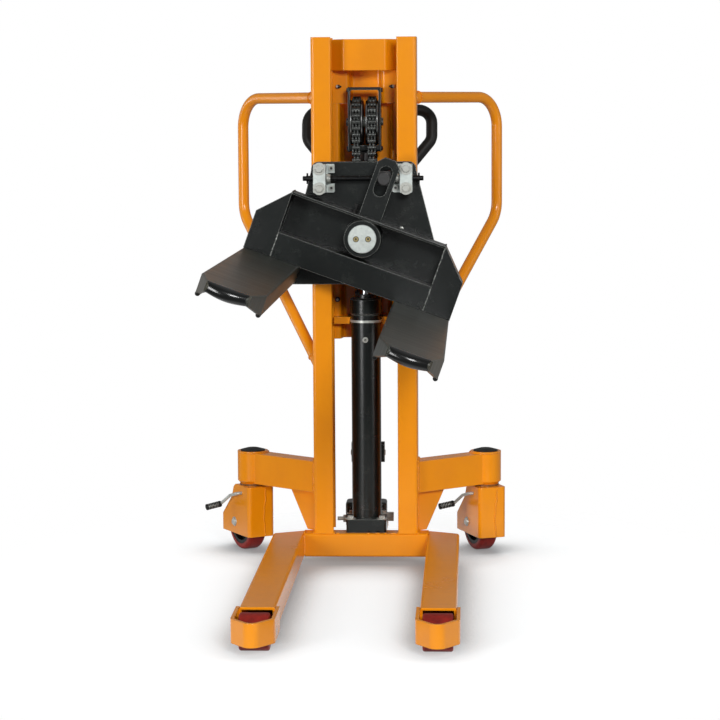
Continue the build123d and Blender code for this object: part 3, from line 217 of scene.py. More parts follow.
def rubbedSteel(name, look):  # satin grey with cross streaks; a painted reflection makes it paler to the nose, and a painted orange reflection browns the outer edge
    steel = Finish(bpy.data.materials.new(name))
    rounded, edge = steel.edges(look["edge"])
    streak = steel.noise(look["streakScale"], detail=6.0, rough=0.7, stretch=look["streakWay"])
    cloud = steel.noise(look["cloudScale"], detail=3.0, rough=0.6)
    fleck = steel.fade(steel.noise(look["fleckScale"], stretch=look["fleckWay"]), *look["fleckSpan"])
    grain = steel.fade(streak, *look["grainSpan"])
    spot = steel.place()
    across = steel.vector("DOT_PRODUCT", spot, look["acrossWay"], out="Value") + look["acrossShift"]
    outer = steel.fade(abs(across), *look["outer"]) * steel.fade(cloud, *look["cloudSpan"])
    ahead = steel.fade(0 - steel.part(spot, "Y"), *look["ahead"])
    colour = steel.mix(grain, look["dark"], look["pale"])
    # painted reflection: paler toward the nose
    colour = steel.mix(ahead * look["aheadShare"], colour, look["front"])
    # painted orange reflection on the outer edges
    colour = steel.mix(outer * look["orangeReflectionShare"], colour, look["orangeReflection"])
    bare = (fleck * look["fleckShare"] + edge * look["edgeShare"]).limited()
    colour = steel.mix(bare, colour, look["bare"])
    rough = look["rough"] + (grain - 0.5) * look["roughSpread"] - cloud * look["cloudRough"]
    return steel.close({
        "Base Color": colour, "Roughness": rough, "Metallic": look["metal"],
        "Normal": steel.bump(streak, look["depth"], rounded), "Specular IOR Level": look["specular"],
    })


forkCoat = {
    # front: the colour of a painted reflection, paler toward the nose
    "dark": tone(36, 39, 34), "pale": tone(47, 50, 43), "front": tone(59, 61, 55), "orangeReflection": tone(96, 84, 66),
    "bare": tone(138, 134, 122), "aheadShare": 0.65, "ahead": (0.25, 1.0),
    # the brown on the outer edges is a painted orange reflection
    "orangeReflectionShare": 0.42, "outer": (0.21, 0.268), "acrossWay": along,
    "acrossShift": tiltFrame["pivotZ"] / 1000 * sin(slant),  # the pivot lies at nought across the forks
    "streakScale": 60.0, "streakWay": (0.05, 1, 0.05), "grainSpan": (0.3, 0.7),
    "cloudScale": 9.0, "cloudSpan": (0.25, 0.6), "cloudRough": 0.08,
    "fleckScale": 120.0, "fleckWay": (0.03, 0.7, 0.03), "fleckSpan": (0.68, 0.76), "fleckShare": 0.35,
    "edge": 0.0018, "edgeShare": 0.4, "rough": 0.4, "roughSpread": 0.08, "metal": 0.0, "depth": 0.00001,
    "specular": 0.3,
}


def platedSteel(name, look):  # zinc, galvanised or chromed steel, with spangle and stains
    steel = Finish(bpy.data.materials.new(name))
    rounded, edge = steel.edges(look["edge"])
    shine = steel.node("ShaderNodeSeparateColor", {}, {0: steel.cells(look["spangleScale"])})
    stain = steel.noise(look["stainScale"], detail=5.0, rough=0.65)
    brush = steel.noise(look["brushScale"], detail=3.0, rough=0.6, stretch=look["brushWay"])
    stained = steel.fade(stain, *look["stainSpan"]) * look["stain"]
    colour = steel.mix(shine * look["spangle"], look["colour"], look["shade"])
    colour = steel.mix(stained, colour, look["stainColour"])
    colour = steel.mix(edge * look["edgeShare"], colour, look["colour"])
    rough = look["rough"] + (brush - 0.5) * look["roughSpread"]
    rough = rough + (shine - 0.5) * look["spangle"] * look["spangleRough"] + stain * look["stainRough"]
    return steel.close({
        "Base Color": colour, "Roughness": rough, "Metallic": look["metal"],
        "Normal": steel.bump(brush + look["spangleDepth"] * shine, look["depth"], rounded),
    })


galvanised = {
    "colour": tone(200, 207, 203), "shade": tone(178, 186, 184), "edge": 0.0012, "edgeShare": 0.3,
    "spangle": 0.6, "spangleScale": 160.0, "spangleRough": 0.2, "spangleDepth": 0.4,
    "stain": 0.35, "stainScale": 70.0, "stainSpan": (0.5, 0.72), "stainRough": 0.08,
    "stainColour": tone(156, 158, 150), "brushScale": 500.0, "brushWay": (1, 1, 0.3),
    "rough": 0.5, "roughSpread": 0.2, "metal": 0.35, "depth": 0.00006,
}
zincPlate = dict(
    galvanised, colour=tone(188, 190, 184), shade=tone(160, 161, 152), edge=0.0008, spangle=0.25,
    stainColour=tone(138, 130, 108), rough=0.3, metal=0.4,
)
hardChrome = dict(
    galvanised, colour=tone(158, 161, 164), shade=tone(140, 143, 147), spangle=0.1, stain=0.1,
    brushScale=900.0, brushWay=(0.1, 0.1, 1), rough=0.1, roughSpread=0.08, metal=1.0, depth=0.00001,
)
oiledSteel = dict(
    galvanised, colour=tone(66, 66, 66), shade=tone(44, 44, 45), edge=0.0008, spangle=0.3, stain=0.5,
    stainScale=180.0, stainColour=tone(52, 44, 36), rough=0.34, metal=0.85,
)
chainSteel = dict(
    galvanised, colour=tone(92, 94, 92), shade=tone(62, 64, 63), edge=0.0005, spangle=0.4, stain=0.6,
    stainScale=220.0, stainColour=tone(34, 32, 30), rough=0.25, metal=1.0,
)
blackRod = dict(oiledSteel, colour=tone(38, 39, 40), shade=tone(26, 27, 28))
polishedRim = dict(hardChrome, colour=tone(132, 134, 132), shade=tone(100, 102, 100), rough=0.2)
yellowZinc = dict(
    galvanised, colour=tone(186, 170, 122), shade=tone(150, 132, 92), edge=0.0006, spangle=0.3,
    stainScale=240.0, stainColour=tone(104, 88, 60), rough=0.3, metal=0.8,
)
weldMetal = dict(
    galvanised, colour=tone(196, 198, 192), shade=tone(96, 98, 96), edge=0.0004, spangle=0.9,
    spangleScale=420.0, stain=1.0, stainScale=130.0, stainColour=tone(30, 31, 31), rough=0.35, metal=0.5,
)


def castPlastic(name, look):  # cast polyurethane or moulded plastic, mottled and gritty
    cast = Finish(bpy.data.materials.new(name))
    rounded = cast.edges(look["edge"])[0]
    mottle = cast.noise(look["mottleScale"], detail=5.0, rough=0.65)
    grit = cast.noise(look["gritScale"], detail=3.0, rough=0.6)
    gritty = cast.fade(grit, *look["gritSpan"]) * look["grit"]
    colour = cast.mix(cast.fade(mottle, *look["mottleSpan"]), look["colour"], look["shade"])
    colour = cast.mix(gritty, colour, look["gritColour"])
    return cast.close({
        "Base Color": colour, "Roughness": look["rough"] + (mottle - 0.5) * look["roughSpread"],
        "Normal": cast.bump(grit + mottle, look["depth"], rounded), "Specular IOR Level": look["specular"],
    })


redTyre = {
    "colour": tone(152, 40, 32), "shade": tone(116, 29, 25), "mottleScale": 45.0, "mottleSpan": (0.3, 0.75),
    "grit": 0.3, "gritScale": 420.0, "gritSpan": (0.58, 0.75), "gritColour": tone(92, 52, 44),
    "edge": 0.0015, "rough": 0.48, "roughSpread": 0.25, "depth": 0.00012, "specular": 0.25,
}
blackPlastic = dict(
    redTyre, colour=tone(24, 25, 25), shade=tone(17, 18, 18), mottleScale=80.0,
    grit=0.2, gritScale=900.0, gritColour=tone(58, 57, 55), edge=0.001, rough=0.5, depth=0.00008,
)

finishes = {
    "orange_paint": sprayedPaint("orangePaint", orangePaint),
    "black_paint": sprayedPaint("blackPaint", blackPaint),
    "fork_coating": rubbedSteel("forkCoat", forkCoat),
    "galvanised_steel": platedSteel("galvanised", galvanised),
    "zinc_plate": platedSteel("zincPlate", zincPlate),
    "chrome": platedSteel("hardChrome", hardChrome),
    "dark_steel": platedSteel("oiledSteel", oiledSteel),
    "chain_steel": platedSteel("chainSteel", chainSteel),
    "red_polyurethane": castPlastic("redTyre", redTyre),
    "black_plastic": castPlastic("blackPlastic", blackPlastic),
}
lipGloss = sprayedPaint("glossBlack", glossBlack)
bareWeld = platedSteel("weldMetal", weldMetal)
brightRim = platedSteel("polishedRim", polishedRim)
darkThread = platedSteel("blackRod", blackRod)
yellowPlate = platedSteel("yellowZinc", yellowZinc)
for part in frame["record"]["subparts"]:
    materials = frame["nodes"][part["node"]].data.materials
    materials.clear()
    materials.append(finishes[part["material_slot"]])
print("finishes made,", len(finishes))


# camera at the photograph's viewing angle, for a square picture
viewpoint = {
    "at": (0.2724, -5.8052, 1.1616), "yaw": -2.81, "pitch": 6.242, "roll": -0.339,
    "focalPixels": 2317.3, "picturePixels": 720, "sensor": 36.0, "farEnd": 60.0,
}
yaw, pitch, roll = (radians(viewpoint[turn]) for turn in ("yaw", "pitch", "roll"))
ahead = Vector((sin(yaw) * cos(pitch), cos(yaw) * cos(pitch), -sin(pitch)))
level = Vector((cos(yaw), -sin(yaw), 0))
upright = level.cross(ahead)
acrossView = cos(roll) * level + sin(roll) * upright
upView = cos(roll) * upright - sin(roll) * level
viewTurn = Matrix((acrossView, upView, -ahead)).transposed().to_4x4()
camera = bpy.data.objects.new("camera", bpy.data.cameras.new("camera"))
camera.data.sensor_width = viewpoint["sensor"]
camera.data.lens = viewpoint["sensor"] * (viewpoint["focalPixels"] / viewpoint["picturePixels"])
camera.data.clip_end = viewpoint["farEnd"]
camera.matrix_world = Matrix.Translation(viewpoint["at"]) @ viewTurn
bpy.context.scene.collection.objects.link(camera)
bpy.context.scene.camera = camera
bpy.context.scene.view_settings.view_transform = "Standard"


# studio: two big lights beside the camera, and weak ones above, beside and behind the object
lamps = {
    "left": {"at": (-3.71, -5.94, 1.3), "size": (1.5, 2.6), "power": 215.0},
    "right": {"at": (1.7, -6.8, 2.9), "size": (1.6, 1.2), "power": 243.0},
    "above": {"at": (0.2, -6.6, 3.8), "size": (2.2, 0.8), "power": 6.0},
    "leftPanel": {"at": (-3.3, 0.2, 1.2), "size": (2.2, 2.4), "power": 6.0},
    "leftStrip": {"at": (-3.0, 0.9, 1.1), "size": (0.3, 2.2), "power": 12.0},
    "rightPanel": {"at": (3.3, -1.2, 1.2), "size": (2.2, 2.4), "power": 14.0},
    "rightStrip": {"at": (3.0, -1.8, 1.1), "size": (0.3, 2.2), "power": 14.0},
    "top": {"at": (0.3, -0.4, 3.4), "size": (3.0, 3.0), "power": 4.0},
    "back": {"at": (-0.6, 5.0, 1.3), "size": (3.0, 2.0), "power": 52.0, "mirrored": False},
}
lampAim = Vector((0.0, -0.2, 0.6))
for lampName, setting in lamps.items():
    lamp = bpy.data.objects.new(lampName + "Light", bpy.data.lights.new(lampName + "Light", "AREA"))
    lamp.data.shape = "RECTANGLE"
    lamp.data.size, lamp.data.size_y = setting["size"]
    lamp.data.energy = setting["power"]
    lamp.visible_glossy = setting.get("mirrored", True)
    lamp.location = setting["at"]
    lamp.rotation_euler = (lampAim - Vector(setting["at"])).to_track_quat("-Z", "Y").to_euler()
    bpy.context.scene.collection.objects.link(lamp)

# surroundings: white to the camera, a dim room to the object, paler behind it than behind the camera
surround = {"frontFill": 0.03, "backFill": 0.2, "frontSeen": 0.22, "backSeen": 0.32, "turn": (-0.5, 0.15)}
bpy.context.scene.world = bpy.data.worlds.new("surround")
sky = Finish(bpy.context.scene.world)
seen = sky.rays("Is Camera Ray")
shiny = sky.rays("Is Glossy Ray", "Is Transmission Ray")
toBack = sky.fade(sky.part(sky.node("ShaderNodeTexCoord", out="Generated"), "Y"), *surround["turn"])
fill = surround["frontFill"] + toBack * (surround["backFill"] - surround["frontFill"])
mirrored = surround["frontSeen"] + toBack * (surround["backSeen"] - surround["frontSeen"])
strength = seen + (1 - seen) * (fill + shiny * (mirrored - fill))
glow = sky.node("ShaderNodeBackground", {}, {"Color": (1, 1, 1, 1), "Strength": strength})
sky.node("ShaderNodeOutputWorld", {}, {"Surface": glow})

# floor: white where nothing stands near, painted soft shade beside and under the object, gone further out
paleFloor = {
    "half": 4.0, "colour": 0.45, "chalkScale": 30.0, "chalkSpread": 0.01,
    "seen": (2.1, 2.26, 2.34, 1.0), "lampShare": 0.2,
    "shadowReach": 0.24, "shadowSpan": (0.45, 1.0), "shadowTone": 0.2,
    "ahead": (-1.0, -0.78), "aheadShare": 0.45, "shift": (0.0, 0.4, 0.0), "stretch": (1.0, 0.75, 1.0),
    "fadeSpan": (0.6, 1.1),
}
ground = Finish(bpy.data.materials.new("paleFloor"))
spot = ground.vector("ADD", ground.place(), paleFloor["shift"])
spot = ground.vector("MULTIPLY", spot, paleFloor["stretch"])
gone = ground.fade(ground.vector("LENGTH", spot, out="Value"), *paleFloor["fadeSpan"])
watched = ground.rays("Is Camera Ray", "Is Glossy Ray", "Is Transmission Ray")
reach = {"Distance": paleFloor["shadowReach"]}
free = ground.node("ShaderNodeAmbientOcclusion", {"samples": 12}, reach, "AO")
shade = (1 - ground.fade(free, *paleFloor["shadowSpan"])) * (1 - paleFloor["shadowTone"])
behind = ground.fade(ground.part(ground.place(), "Y"), *paleFloor["ahead"])
shade = shade * (paleFloor["aheadShare"] + behind * (1 - paleFloor["aheadShare"]))  # the painted shade is paler before the legs
mottle = ground.noise(paleFloor["chalkScale"], detail=3.0)
chalk = paleFloor["colour"] + (mottle - 0.5) * paleFloor["chalkSpread"]
# painted shade: the floor glows grey where the object stands near
soft = ground.node("ShaderNodeEmission", {}, {"Color": ground.grey(1 - shade)})
lit = ground.node("ShaderNodeBsdfDiffuse", {}, {"Color": paleFloor["seen"]})
plain = ground.node("ShaderNodeBsdfDiffuse", {}, {"Color": ground.grey(chalk)})
shown = ground.node("ShaderNodeMixShader", {}, {0: paleFloor["lampShare"], 1: soft, 2: lit})
solid = ground.node("ShaderNodeMixShader", {}, {0: watched, 1: plain, 2: shown})
clear = ground.node("ShaderNodeBsdfTransparent")
surface = ground.node("ShaderNodeMixShader", {}, {0: gone, 1: solid, 2: clear})
ground.node("ShaderNodeOutputMaterial", {}, {"Surface": surface})
floorMesh = bpy.data.meshes.new("floor")
floorCorners = [(x * paleFloor["half"], y * paleFloor["half"], 0) for x, y in squareCorners]
floorMesh.from_pydata(floorCorners, [], [(0, 1, 2, 3)])
floorMesh.materials.append(ground.owner)
floor = bpy.data.objects.new("floor", floorMesh)
bpy.context.scene.collection.objects.link(floor)
print("camera, lights and floor set")


# small shapes, all in millimetres until addPiece
def circle(radius, count=24):
    return [(radius * cos(tau * i / count), radius * sin(tau * i / count)) for i in range(count)]


def hexagon(flats, limit=1.0, count=24):  # points round a hexagon, cut back to limit times its width
    points = []
    for i in range(count):
        angle = tau * i / count
        reach = min(flats / 2 / cos(angle % (pi / 3) - pi / 6), flats * limit)
        points.append((reach * cos(angle), reach * sin(angle)))
    return points


def barrel(radius, length, edge):  # profile of a cylinder with broken edges
    return [(radius - edge, 0), (radius, edge), (radius, length - edge), (radius - edge, length)]


def ridges(radius, depth, start, step, count):  # profile of a thread, root and crest by turns
    return [(radius - depth * (1 - i % 2), start + i * step) for i in range(count)]


def onSide(side, x, y, z):  # a place on the left or on the right
    return Vector((side * x, y, z))


def squareTo(axis):  # two directions square to an axis
    hint = zWay if abs(axis.z) < 0.9 else xWay
    side = hint.cross(axis).normalized()
    return side, axis.cross(side).normalized()


def joinLoops(shape, loops, capped=True, closed=False):  # faces between neighbouring loops of points
    for low, high in zip(loops, loops[1:] + (loops[:1] if closed else [])):
        for i in range(len(low)):
            j = (i + 1) % len(low)
            shape.faces.new((low[i], low[j], high[j], high[i]))
    if capped:
        shape.faces.new(loops[0][::-1])
        shape.faces.new(loops[-1])


def skin(shape, foot, axis, rings, capped=True):  # faces between outlines set along an axis
    axis = axis.normalized()
    side, up = squareTo(axis)
    loops = []
    for outline, height in rings:
        loops.append([shape.verts.new(foot + axis * height + side * a + up * b) for a, b in outline])
    joinLoops(shape, loops, capped)


def turned(shape, foot, axis, profile, count=32, capped=True):  # profile of radius and height
    skin(shape, foot, axis, [(circle(radius, count), height) for radius, height in profile], capped)


# heads, as shares of the width over flats and of the height; edges and gaps in millimetres
hexHead = {
    "washer": 0.92, "washerEdge": 0.4, "middle": 0.2,
    "rings": ((1.0, 0.0), (1.0, 0.72), (0.535, 0.88), (0.46, 1.0)),
}
# the dark fill in a key is painted shade
socketHead = {"edge": 0.8, "middle": 0.2, "keyShadeGap": 0.1, "keyShadeRim": 0.6, "keyShadeMiddle": 0.5}


def hexBolt(shape, foot, axis, flats, height, washer=0.0):
    if washer:
        turned(shape, foot, axis, barrel(flats * hexHead["washer"], washer, hexHead["washerEdge"]))
        foot = foot + axis.normalized() * washer
    rings = [(hexagon(flats, limit), height * share) for limit, share in hexHead["rings"]]
    skin(shape, foot, axis, rings + [(circle(flats * hexHead["middle"]), height)])


def socketScrew(shape, foot, axis, radius, height, key, depth, dark=None):  # a dark fill in the key, painted shade of the hole, goes to dark
    low, edge = height - depth, socketHead["edge"]
    middle = circle(key * socketHead["middle"])
    rings = [(circle(radius), 0), (circle(radius), height - edge), (circle(radius - edge), height)]
    skin(shape, foot, axis, rings + [(hexagon(key), height), (hexagon(key), low), (middle, low)])
    # painted shade: a dark fill part way up the key
    if dark:
        gap = socketHead["keyShadeGap"]
        keyShade = hexagon(key - gap)
        rim, dip = low + depth * socketHead["keyShadeRim"], low + depth * socketHead["keyShadeMiddle"]
        skin(dark, foot, axis, [(keyShade, low - gap), (keyShade, rim), (middle, dip)])


# weld beads: their ripples are a size, as a share of the width, and a rate along the run
bead = {
    "around": 8, "step": 1.1, "fewest": 6, "ringStep": 1.2, "ringFewest": 24, "endShare": 0.35, "taper": 1.6,
    "pitch": 3.4, "ripple": 0.13, "swell": (0.07, 0.61), "drift": (0.05, 0.23), "sway": (0.1, 0.31),
}


def weld(shape, start, end, width, pitch=bead["pitch"], turn=0.0):  # a rippled bead, tapered at its ends
    start, end = Vector(start), Vector(end)
    axis = end - start
    length = axis.length
    steps = max(bead["fewest"], int(length / bead["step"]))
    swell, swellRate = bead["swell"]
    drift, driftRate = bead["drift"]
    sway, swayRate = bead["sway"]
    rings = []
    for i in range(steps + 1):
        run = length * i / steps
        taper = min(1.0, bead["endShare"] + min(run, length - run) / (bead["taper"] * width))
        ripple = 1 + bead["ripple"] * sin(tau * run / pitch + turn)
        ripple += swell * sin(run * swellRate + turn * 3)
        ripple += drift * sin(run * driftRate + turn)
        shift = sway * width * sin(run * swayRate + turn * 2)
        outline = circle(width * taper * ripple, bead["around"])
        rings.append(([(a + shift, b) for a, b in outline], run))
    skin(shape, start, axis, rings)


def ringWeld(shape, centre, axis, radius, width, share=1.0):  # a bead round a tube, or round a share of it
    side, up = squareTo(axis)
    count = max(bead["ringFewest"], int(tau * radius * share / bead["ringStep"]))
    swell, swellRate = bead["swell"]
    loops = []
    for i in range(count + (share < 1)):
        angle = tau * share * i / count
        run = radius * angle
        out = side * cos(angle) + up * sin(angle)
        ripple = 1 + bead["ripple"] * sin(tau * run / bead["pitch"]) + swell * sin(run * swellRate)
        outline = circle(width * ripple, bead["around"])
        loops.append([shape.verts.new(centre + out * (radius + a) + axis * b) for a, b in outline])
    joinLoops(shape, loops, capped=share < 1, closed=share == 1)


def addPiece(name, shape, body, slotName, crease=32.0, finish=None):
    bmesh.ops.recalc_face_normals(shape, faces=shape.faces)
    bmesh.ops.transform(shape, matrix=Matrix.Scale(0.001, 4), verts=shape.verts)
    mesh = bpy.data.meshes.new(name)
    shape.to_mesh(mesh)
    shape.free()
    mesh.shade_smooth()
    mesh.set_sharp_from_angle(angle=radians(crease))
    mesh.materials.append(finish or finishes[slotName])
    piece = bpy.data.objects.new(name, mesh)
    bpy.context.scene.collection.objects.link(piece)
    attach(piece, body)
    return piece


# leaf chains: waisted plates on rivets, laced two and three
chain = {
    "pitch": 15.875, "radius": 58.03, "axle": (65.0, 1123.0), "frontLinks": 21, "apart": 19.5, "layer": 4.0,
    "full": (7.0, 3.4), "slim": (6.3, 3.0),  # half width and thickness of a plate
    "waist": 4.8 / 7.0, "waistAt": (0.2, 0.35, 0.5, 0.65, 0.8), "endSteps": 8,
    "rivet": 2.6, "rivetLength": 22.0, "rivetEdge": 0.7,
    "overSheave": (2, 46), "onCarriage": (0, 18), "onSaddle": (44, 61),  # first and last pin
}


def chainPin(link):  # up the front, over the sheave and down the rear
    run = link * chain["pitch"]
    frontRun = chain["frontLinks"] * chain["pitch"]
    overRun = pi * chain["radius"]
    y, z = chain["axle"]
    if run <= frontRun:
        return Vector((0, y - chain["radius"], z - frontRun + run))
    if run <= frontRun + overRun:
        angle = (run - frontRun) / chain["radius"]
        return Vector((0, y - chain["radius"] * cos(angle), z + chain["radius"] * sin(angle)))
    return Vector((0, y + chain["radius"], z - (run - frontRun - overRun)))


def plateOutline(start, end, half):  # round ends, and a smooth waist between them
    lengthwise = (end - start).normalized()
    out = lengthwise.cross(xWay)
    points = []
    for centre, other, turn in ((start, end, 90), (end, start, 270)):
        spots = [(centre, turn + 180 * i / chain["endSteps"], half) for i in range(chain["endSteps"] + 1)]
        for share in chain["waistAt"]:
            narrow = half - half * (1 - chain["waist"]) * sin(pi * share) ** 2
            spots.append((centre.lerp(other, share), turn + 180, narrow))
        for spot, degrees, reach in spots:
            way = lengthwise * cos(radians(degrees)) + out * sin(radians(degrees))
            points.append(spot + way * reach)
    return points


def leafChain(shape, pins, plate):
    first, last = pins
    half, thick = plate
    rivet = barrel(chain["rivet"], chain["rivetLength"], chain["rivetEdge"])
    for middle in (-chain["apart"], chain["apart"]):
        for link in range(first, last + 1):
            foot = chainPin(link) + xWay * (middle - chain["rivetLength"] / 2)
            turned(shape, foot, xWay, rivet, count=12)
        for link in range(first, last):
            outline = plateOutline(chainPin(link), chainPin(link + 1), half)
            for layer in range(-2, 3):
                if (link + layer) % 2:  # this layer is the neighbouring link's
                    continue
                x = middle + layer * chain["layer"]
                loops = []
                for face in (x - thick / 2, x + thick / 2):
                    loops.append([shape.verts.new(point + xWay * face) for point in outline])
                joinLoops(shape, loops)


shape = bmesh.new()
leafChain(shape, chain["overSheave"], chain["full"])
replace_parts(addPiece("chainOverSheaves", shape, "ram", "chain_steel"), "lift_chains")
shape = bmesh.new()
leafChain(shape, chain["onCarriage"], chain["slim"])
addPiece("chainOnCarriage", shape, "carriage", "chain_steel")

# the fixed ends on the saddle: a threaded stud with its nut, and a clevis
chainEnd = {
    "z": 629.0, "nut": (18.0, 9.0, 2.0), "stud": 6.0, "studTop": 22.0,
    "thread": (0.6, 9.0, 0.9, 14),  # depth, start, step and count
    "clevisHalf": (12.2, 8.2), "clevisFrom": 21.0, "clevisTall": 28.0,
}
stud = [(chainEnd["stud"], 0), (chainEnd["stud"], chainEnd["thread"][1])]
stud += ridges(chainEnd["stud"], *chainEnd["thread"]) + [(chainEnd["stud"], chainEnd["studTop"])]
clevis = [(x * chainEnd["clevisHalf"][0], y * chainEnd["clevisHalf"][1]) for x, y in squareCorners]
shape = bmesh.new()
leafChain(shape, chain["onSaddle"], chain["slim"])
for side in bothSides.values():
    foot = onSide(side, chain["apart"], chain["axle"][0] + chain["radius"], chainEnd["z"])
    hexBolt(shape, foot, zWay, *chainEnd["nut"])
    turned(shape, foot, zWay, stud, count=20)
    skin(shape, foot + zWay * chainEnd["clevisFrom"], zWay, [(clevis, 0), (clevis, chainEnd["clevisTall"])])
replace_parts(addPiece("chainOnSaddle", shape, "chassis", "chain_steel"), "fixed_chains")
print("chains laced")


# tilt screw: rolled thread between its collars, turned ends with cross pins
tiltScrew = {
    "y": -46.0, "z": 984.5, "radius": 7.0, "play": 0.05, "root": 5.9, "lead": 4.0, "threadHalf": 80.0,
    "step": 0.5, "around": 24, "crest": 0.3, "flank": 0.35,
    "end": 150.0, "overlap": 1.0, "shoulder": 0.6, "tip": 6.0, "tipLength": 8.5, "tipEdge": (0.8, 1.0),
    "pinAt": 138.5, "pinRadius": 2.3, "pinLength": 27.0, "pinEdge": 0.7,
    "collarFrom": 81.0, "collarWidth": 10.0, "collarRadius": 11.0, "collarEdge": 0.8, "collarBore": 7.1,
    "setScrew": (2.6, 1.6, 2.4, 1.4), "setDepth": 1.2,
}
shape = bmesh.new()
screwMiddle = Vector((0, tiltScrew["y"], tiltScrew["z"]))
rings = []
for i in range(int(2 * tiltScrew["threadHalf"] / tiltScrew["step"]) + 1):
    x = i * tiltScrew["step"] - tiltScrew["threadHalf"]
    outline = []
    for k in range(tiltScrew["around"]):
        angle = tau * k / tiltScrew["around"]
        wave = abs(((x / tiltScrew["lead"] - k / tiltScrew["around"]) % 1.0) * 2 - 1)
        depth = min(1.0, max(0.0, (wave - tiltScrew["crest"]) / tiltScrew["flank"]))
        reach = tiltScrew["radius"] - tiltScrew["play"] - depth * (tiltScrew["radius"] - tiltScrew["root"])
        outline.append((reach * cos(angle), reach * sin(angle)))
    rings.append((outline, x))
skin(shape, screwMiddle, xWay, rings)
endRun = tiltScrew["end"] - tiltScrew["threadHalf"]
tipAt = endRun - tiltScrew["tipLength"]
narrowing, taperRun = tiltScrew["tipEdge"]
screwEnd = [
    (tiltScrew["radius"], -tiltScrew["overlap"]), (tiltScrew["radius"], tipAt - tiltScrew["shoulder"]),
    (tiltScrew["radius"] - tiltScrew["shoulder"], tipAt), (tiltScrew["tip"], tipAt),
    (tiltScrew["tip"], endRun - taperRun), (tiltScrew["tip"] - narrowing, endRun),
]
crossPin = barrel(tiltScrew["pinRadius"], tiltScrew["pinLength"], tiltScrew["pinEdge"])
for side in bothSides.values():
    turned(shape, screwMiddle + xWay * side * tiltScrew["threadHalf"], xWay * side, screwEnd)
    pinFoot = screwMiddle + xWay * side * tiltScrew["pinAt"] - zWay * tiltScrew["pinLength"] / 2
    turned(shape, pinFoot, zWay, crossPin, count=16)
threadPiece = addPiece("tiltScrewThread", shape, "spindle", "dark_steel", finish=darkThread)
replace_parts(threadPiece, "tilt_spindle")
shape = bmesh.new()
collar = barrel(tiltScrew["collarRadius"], tiltScrew["collarWidth"], tiltScrew["collarEdge"])
collar = [(tiltScrew["collarBore"], 0)] + collar + [(tiltScrew["collarBore"], tiltScrew["collarWidth"])]
for side in bothSides.values():
    foot = screwMiddle + xWay * side * tiltScrew["collarFrom"]
    turned(shape, foot, xWay * side, collar)
    seat = foot + xWay * side * tiltScrew["collarWidth"] / 2
    seat = seat + zWay * (tiltScrew["collarRadius"] - tiltScrew["setDepth"])
    socketScrew(shape, seat, zWay, *tiltScrew["setScrew"])
addPiece("tiltScrewCollars", shape, "spindle", "zinc_plate")
print("tilt screw turned")


# bolts of the carriage: bearing blocks, their feet, the plate and the pivot cap, with painted shade in the
# keys and round the cap screws
carriageBolts = {
    "rise": 24.5, "blockX": 107.25, "blockY": -76.0, "blockHead": (17.0, 6.2, 1.4),
    "footX": 80.0, "footY": -28.0, "footScrew": (6.5, 6.0, 6.6, 3.6),
    "plate": (94.0, -18.0, 858.0), "plateHead": (10.0, 3.4),
    "capX": 15.0, "capY": -121.4, "capScrew": (6.0, 2.2, 5.0, 2.0),
    "capShadowRing": ((5.9, 0), (7.3, 0), (7.3, 0.5), (5.9, 0.5)),
}
shape, dark, yellow = bmesh.new(), bmesh.new(), bmesh.new()
for side in bothSides.values():
    for rise in (-carriageBolts["rise"], carriageBolts["rise"]):
        z = tiltScrew["z"] + rise
        blockFoot = onSide(side, carriageBolts["blockX"], carriageBolts["blockY"], z)
        hexBolt(shape, blockFoot, -yWay, *carriageBolts["blockHead"])
        screwFoot = onSide(side, carriageBolts["footX"], carriageBolts["footY"], z)
        socketScrew(shape, screwFoot, -yWay, *carriageBolts["footScrew"], dark)
    hexBolt(shape, onSide(side, *carriageBolts["plate"]), -yWay, *carriageBolts["plateHead"])
    capFoot = onSide(side, carriageBolts["capX"], carriageBolts["capY"], tiltFrame["pivotZ"])
    socketScrew(yellow, capFoot, -yWay, *carriageBolts["capScrew"], dark)
    # a dark ring round each cap screw: painted shadow in its hole
    turned(dark, capFoot, -yWay, carriageBolts["capShadowRing"], capped=False)
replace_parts(addPiece("carriageBoltHeads", shape, "carriage", "zinc_plate"), "carriage_bolts")
addPiece("carriageScrewShade", dark, "carriage", "dark_steel")
addPiece("pivotCapScrews", yellow, "carriage", "zinc_plate", finish=yellowPlate)


# back panels: lying buffers above, each a plated foot with a pointed black end, a dark shape for a painted
# shadow; screws with plated tips below
panelScrews = {
    "buffer": (74.0, 95.2, 1212.0), "bufferFoot": ((3.6, 0), (4.6, 0.8), (4.6, 4.2), (3.8, 5.0)),
    "shadowCone": ((3.0, 4.6), (4.9, 5.2), (4.7, 7.4), (1.5, 13.4), (0.7, 14.0)),
    "screw": (74.0, 100.0, 671.0), "screwHead": (12.0, 5.0), "tipAt": 4.6,
    "screwTip": ((3.4, 0), (3.4, 3.0), (2.6, 3.8)),
}
shape, plated = bmesh.new(), bmesh.new()
for side in bothSides.values():
    foot = onSide(side, *panelScrews["buffer"])
    turned(plated, foot, -xWay * side, panelScrews["bufferFoot"], count=20)
    # pointed black end: a dark shape for the painted shadow beside the plated foot
    turned(shape, foot, -xWay * side, panelScrews["shadowCone"], count=20)
    foot = onSide(side, *panelScrews["screw"])
    hexBolt(shape, foot, -yWay, *panelScrews["screwHead"])
    turned(plated, foot - yWay * panelScrews["tipAt"], -yWay, panelScrews["screwTip"], count=16)
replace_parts(addPiece("panelScrews", shape, "chassis", "dark_steel"), "frame_screws")
addPiece("panelScrewTips", plated, "chassis", "zinc_plate")


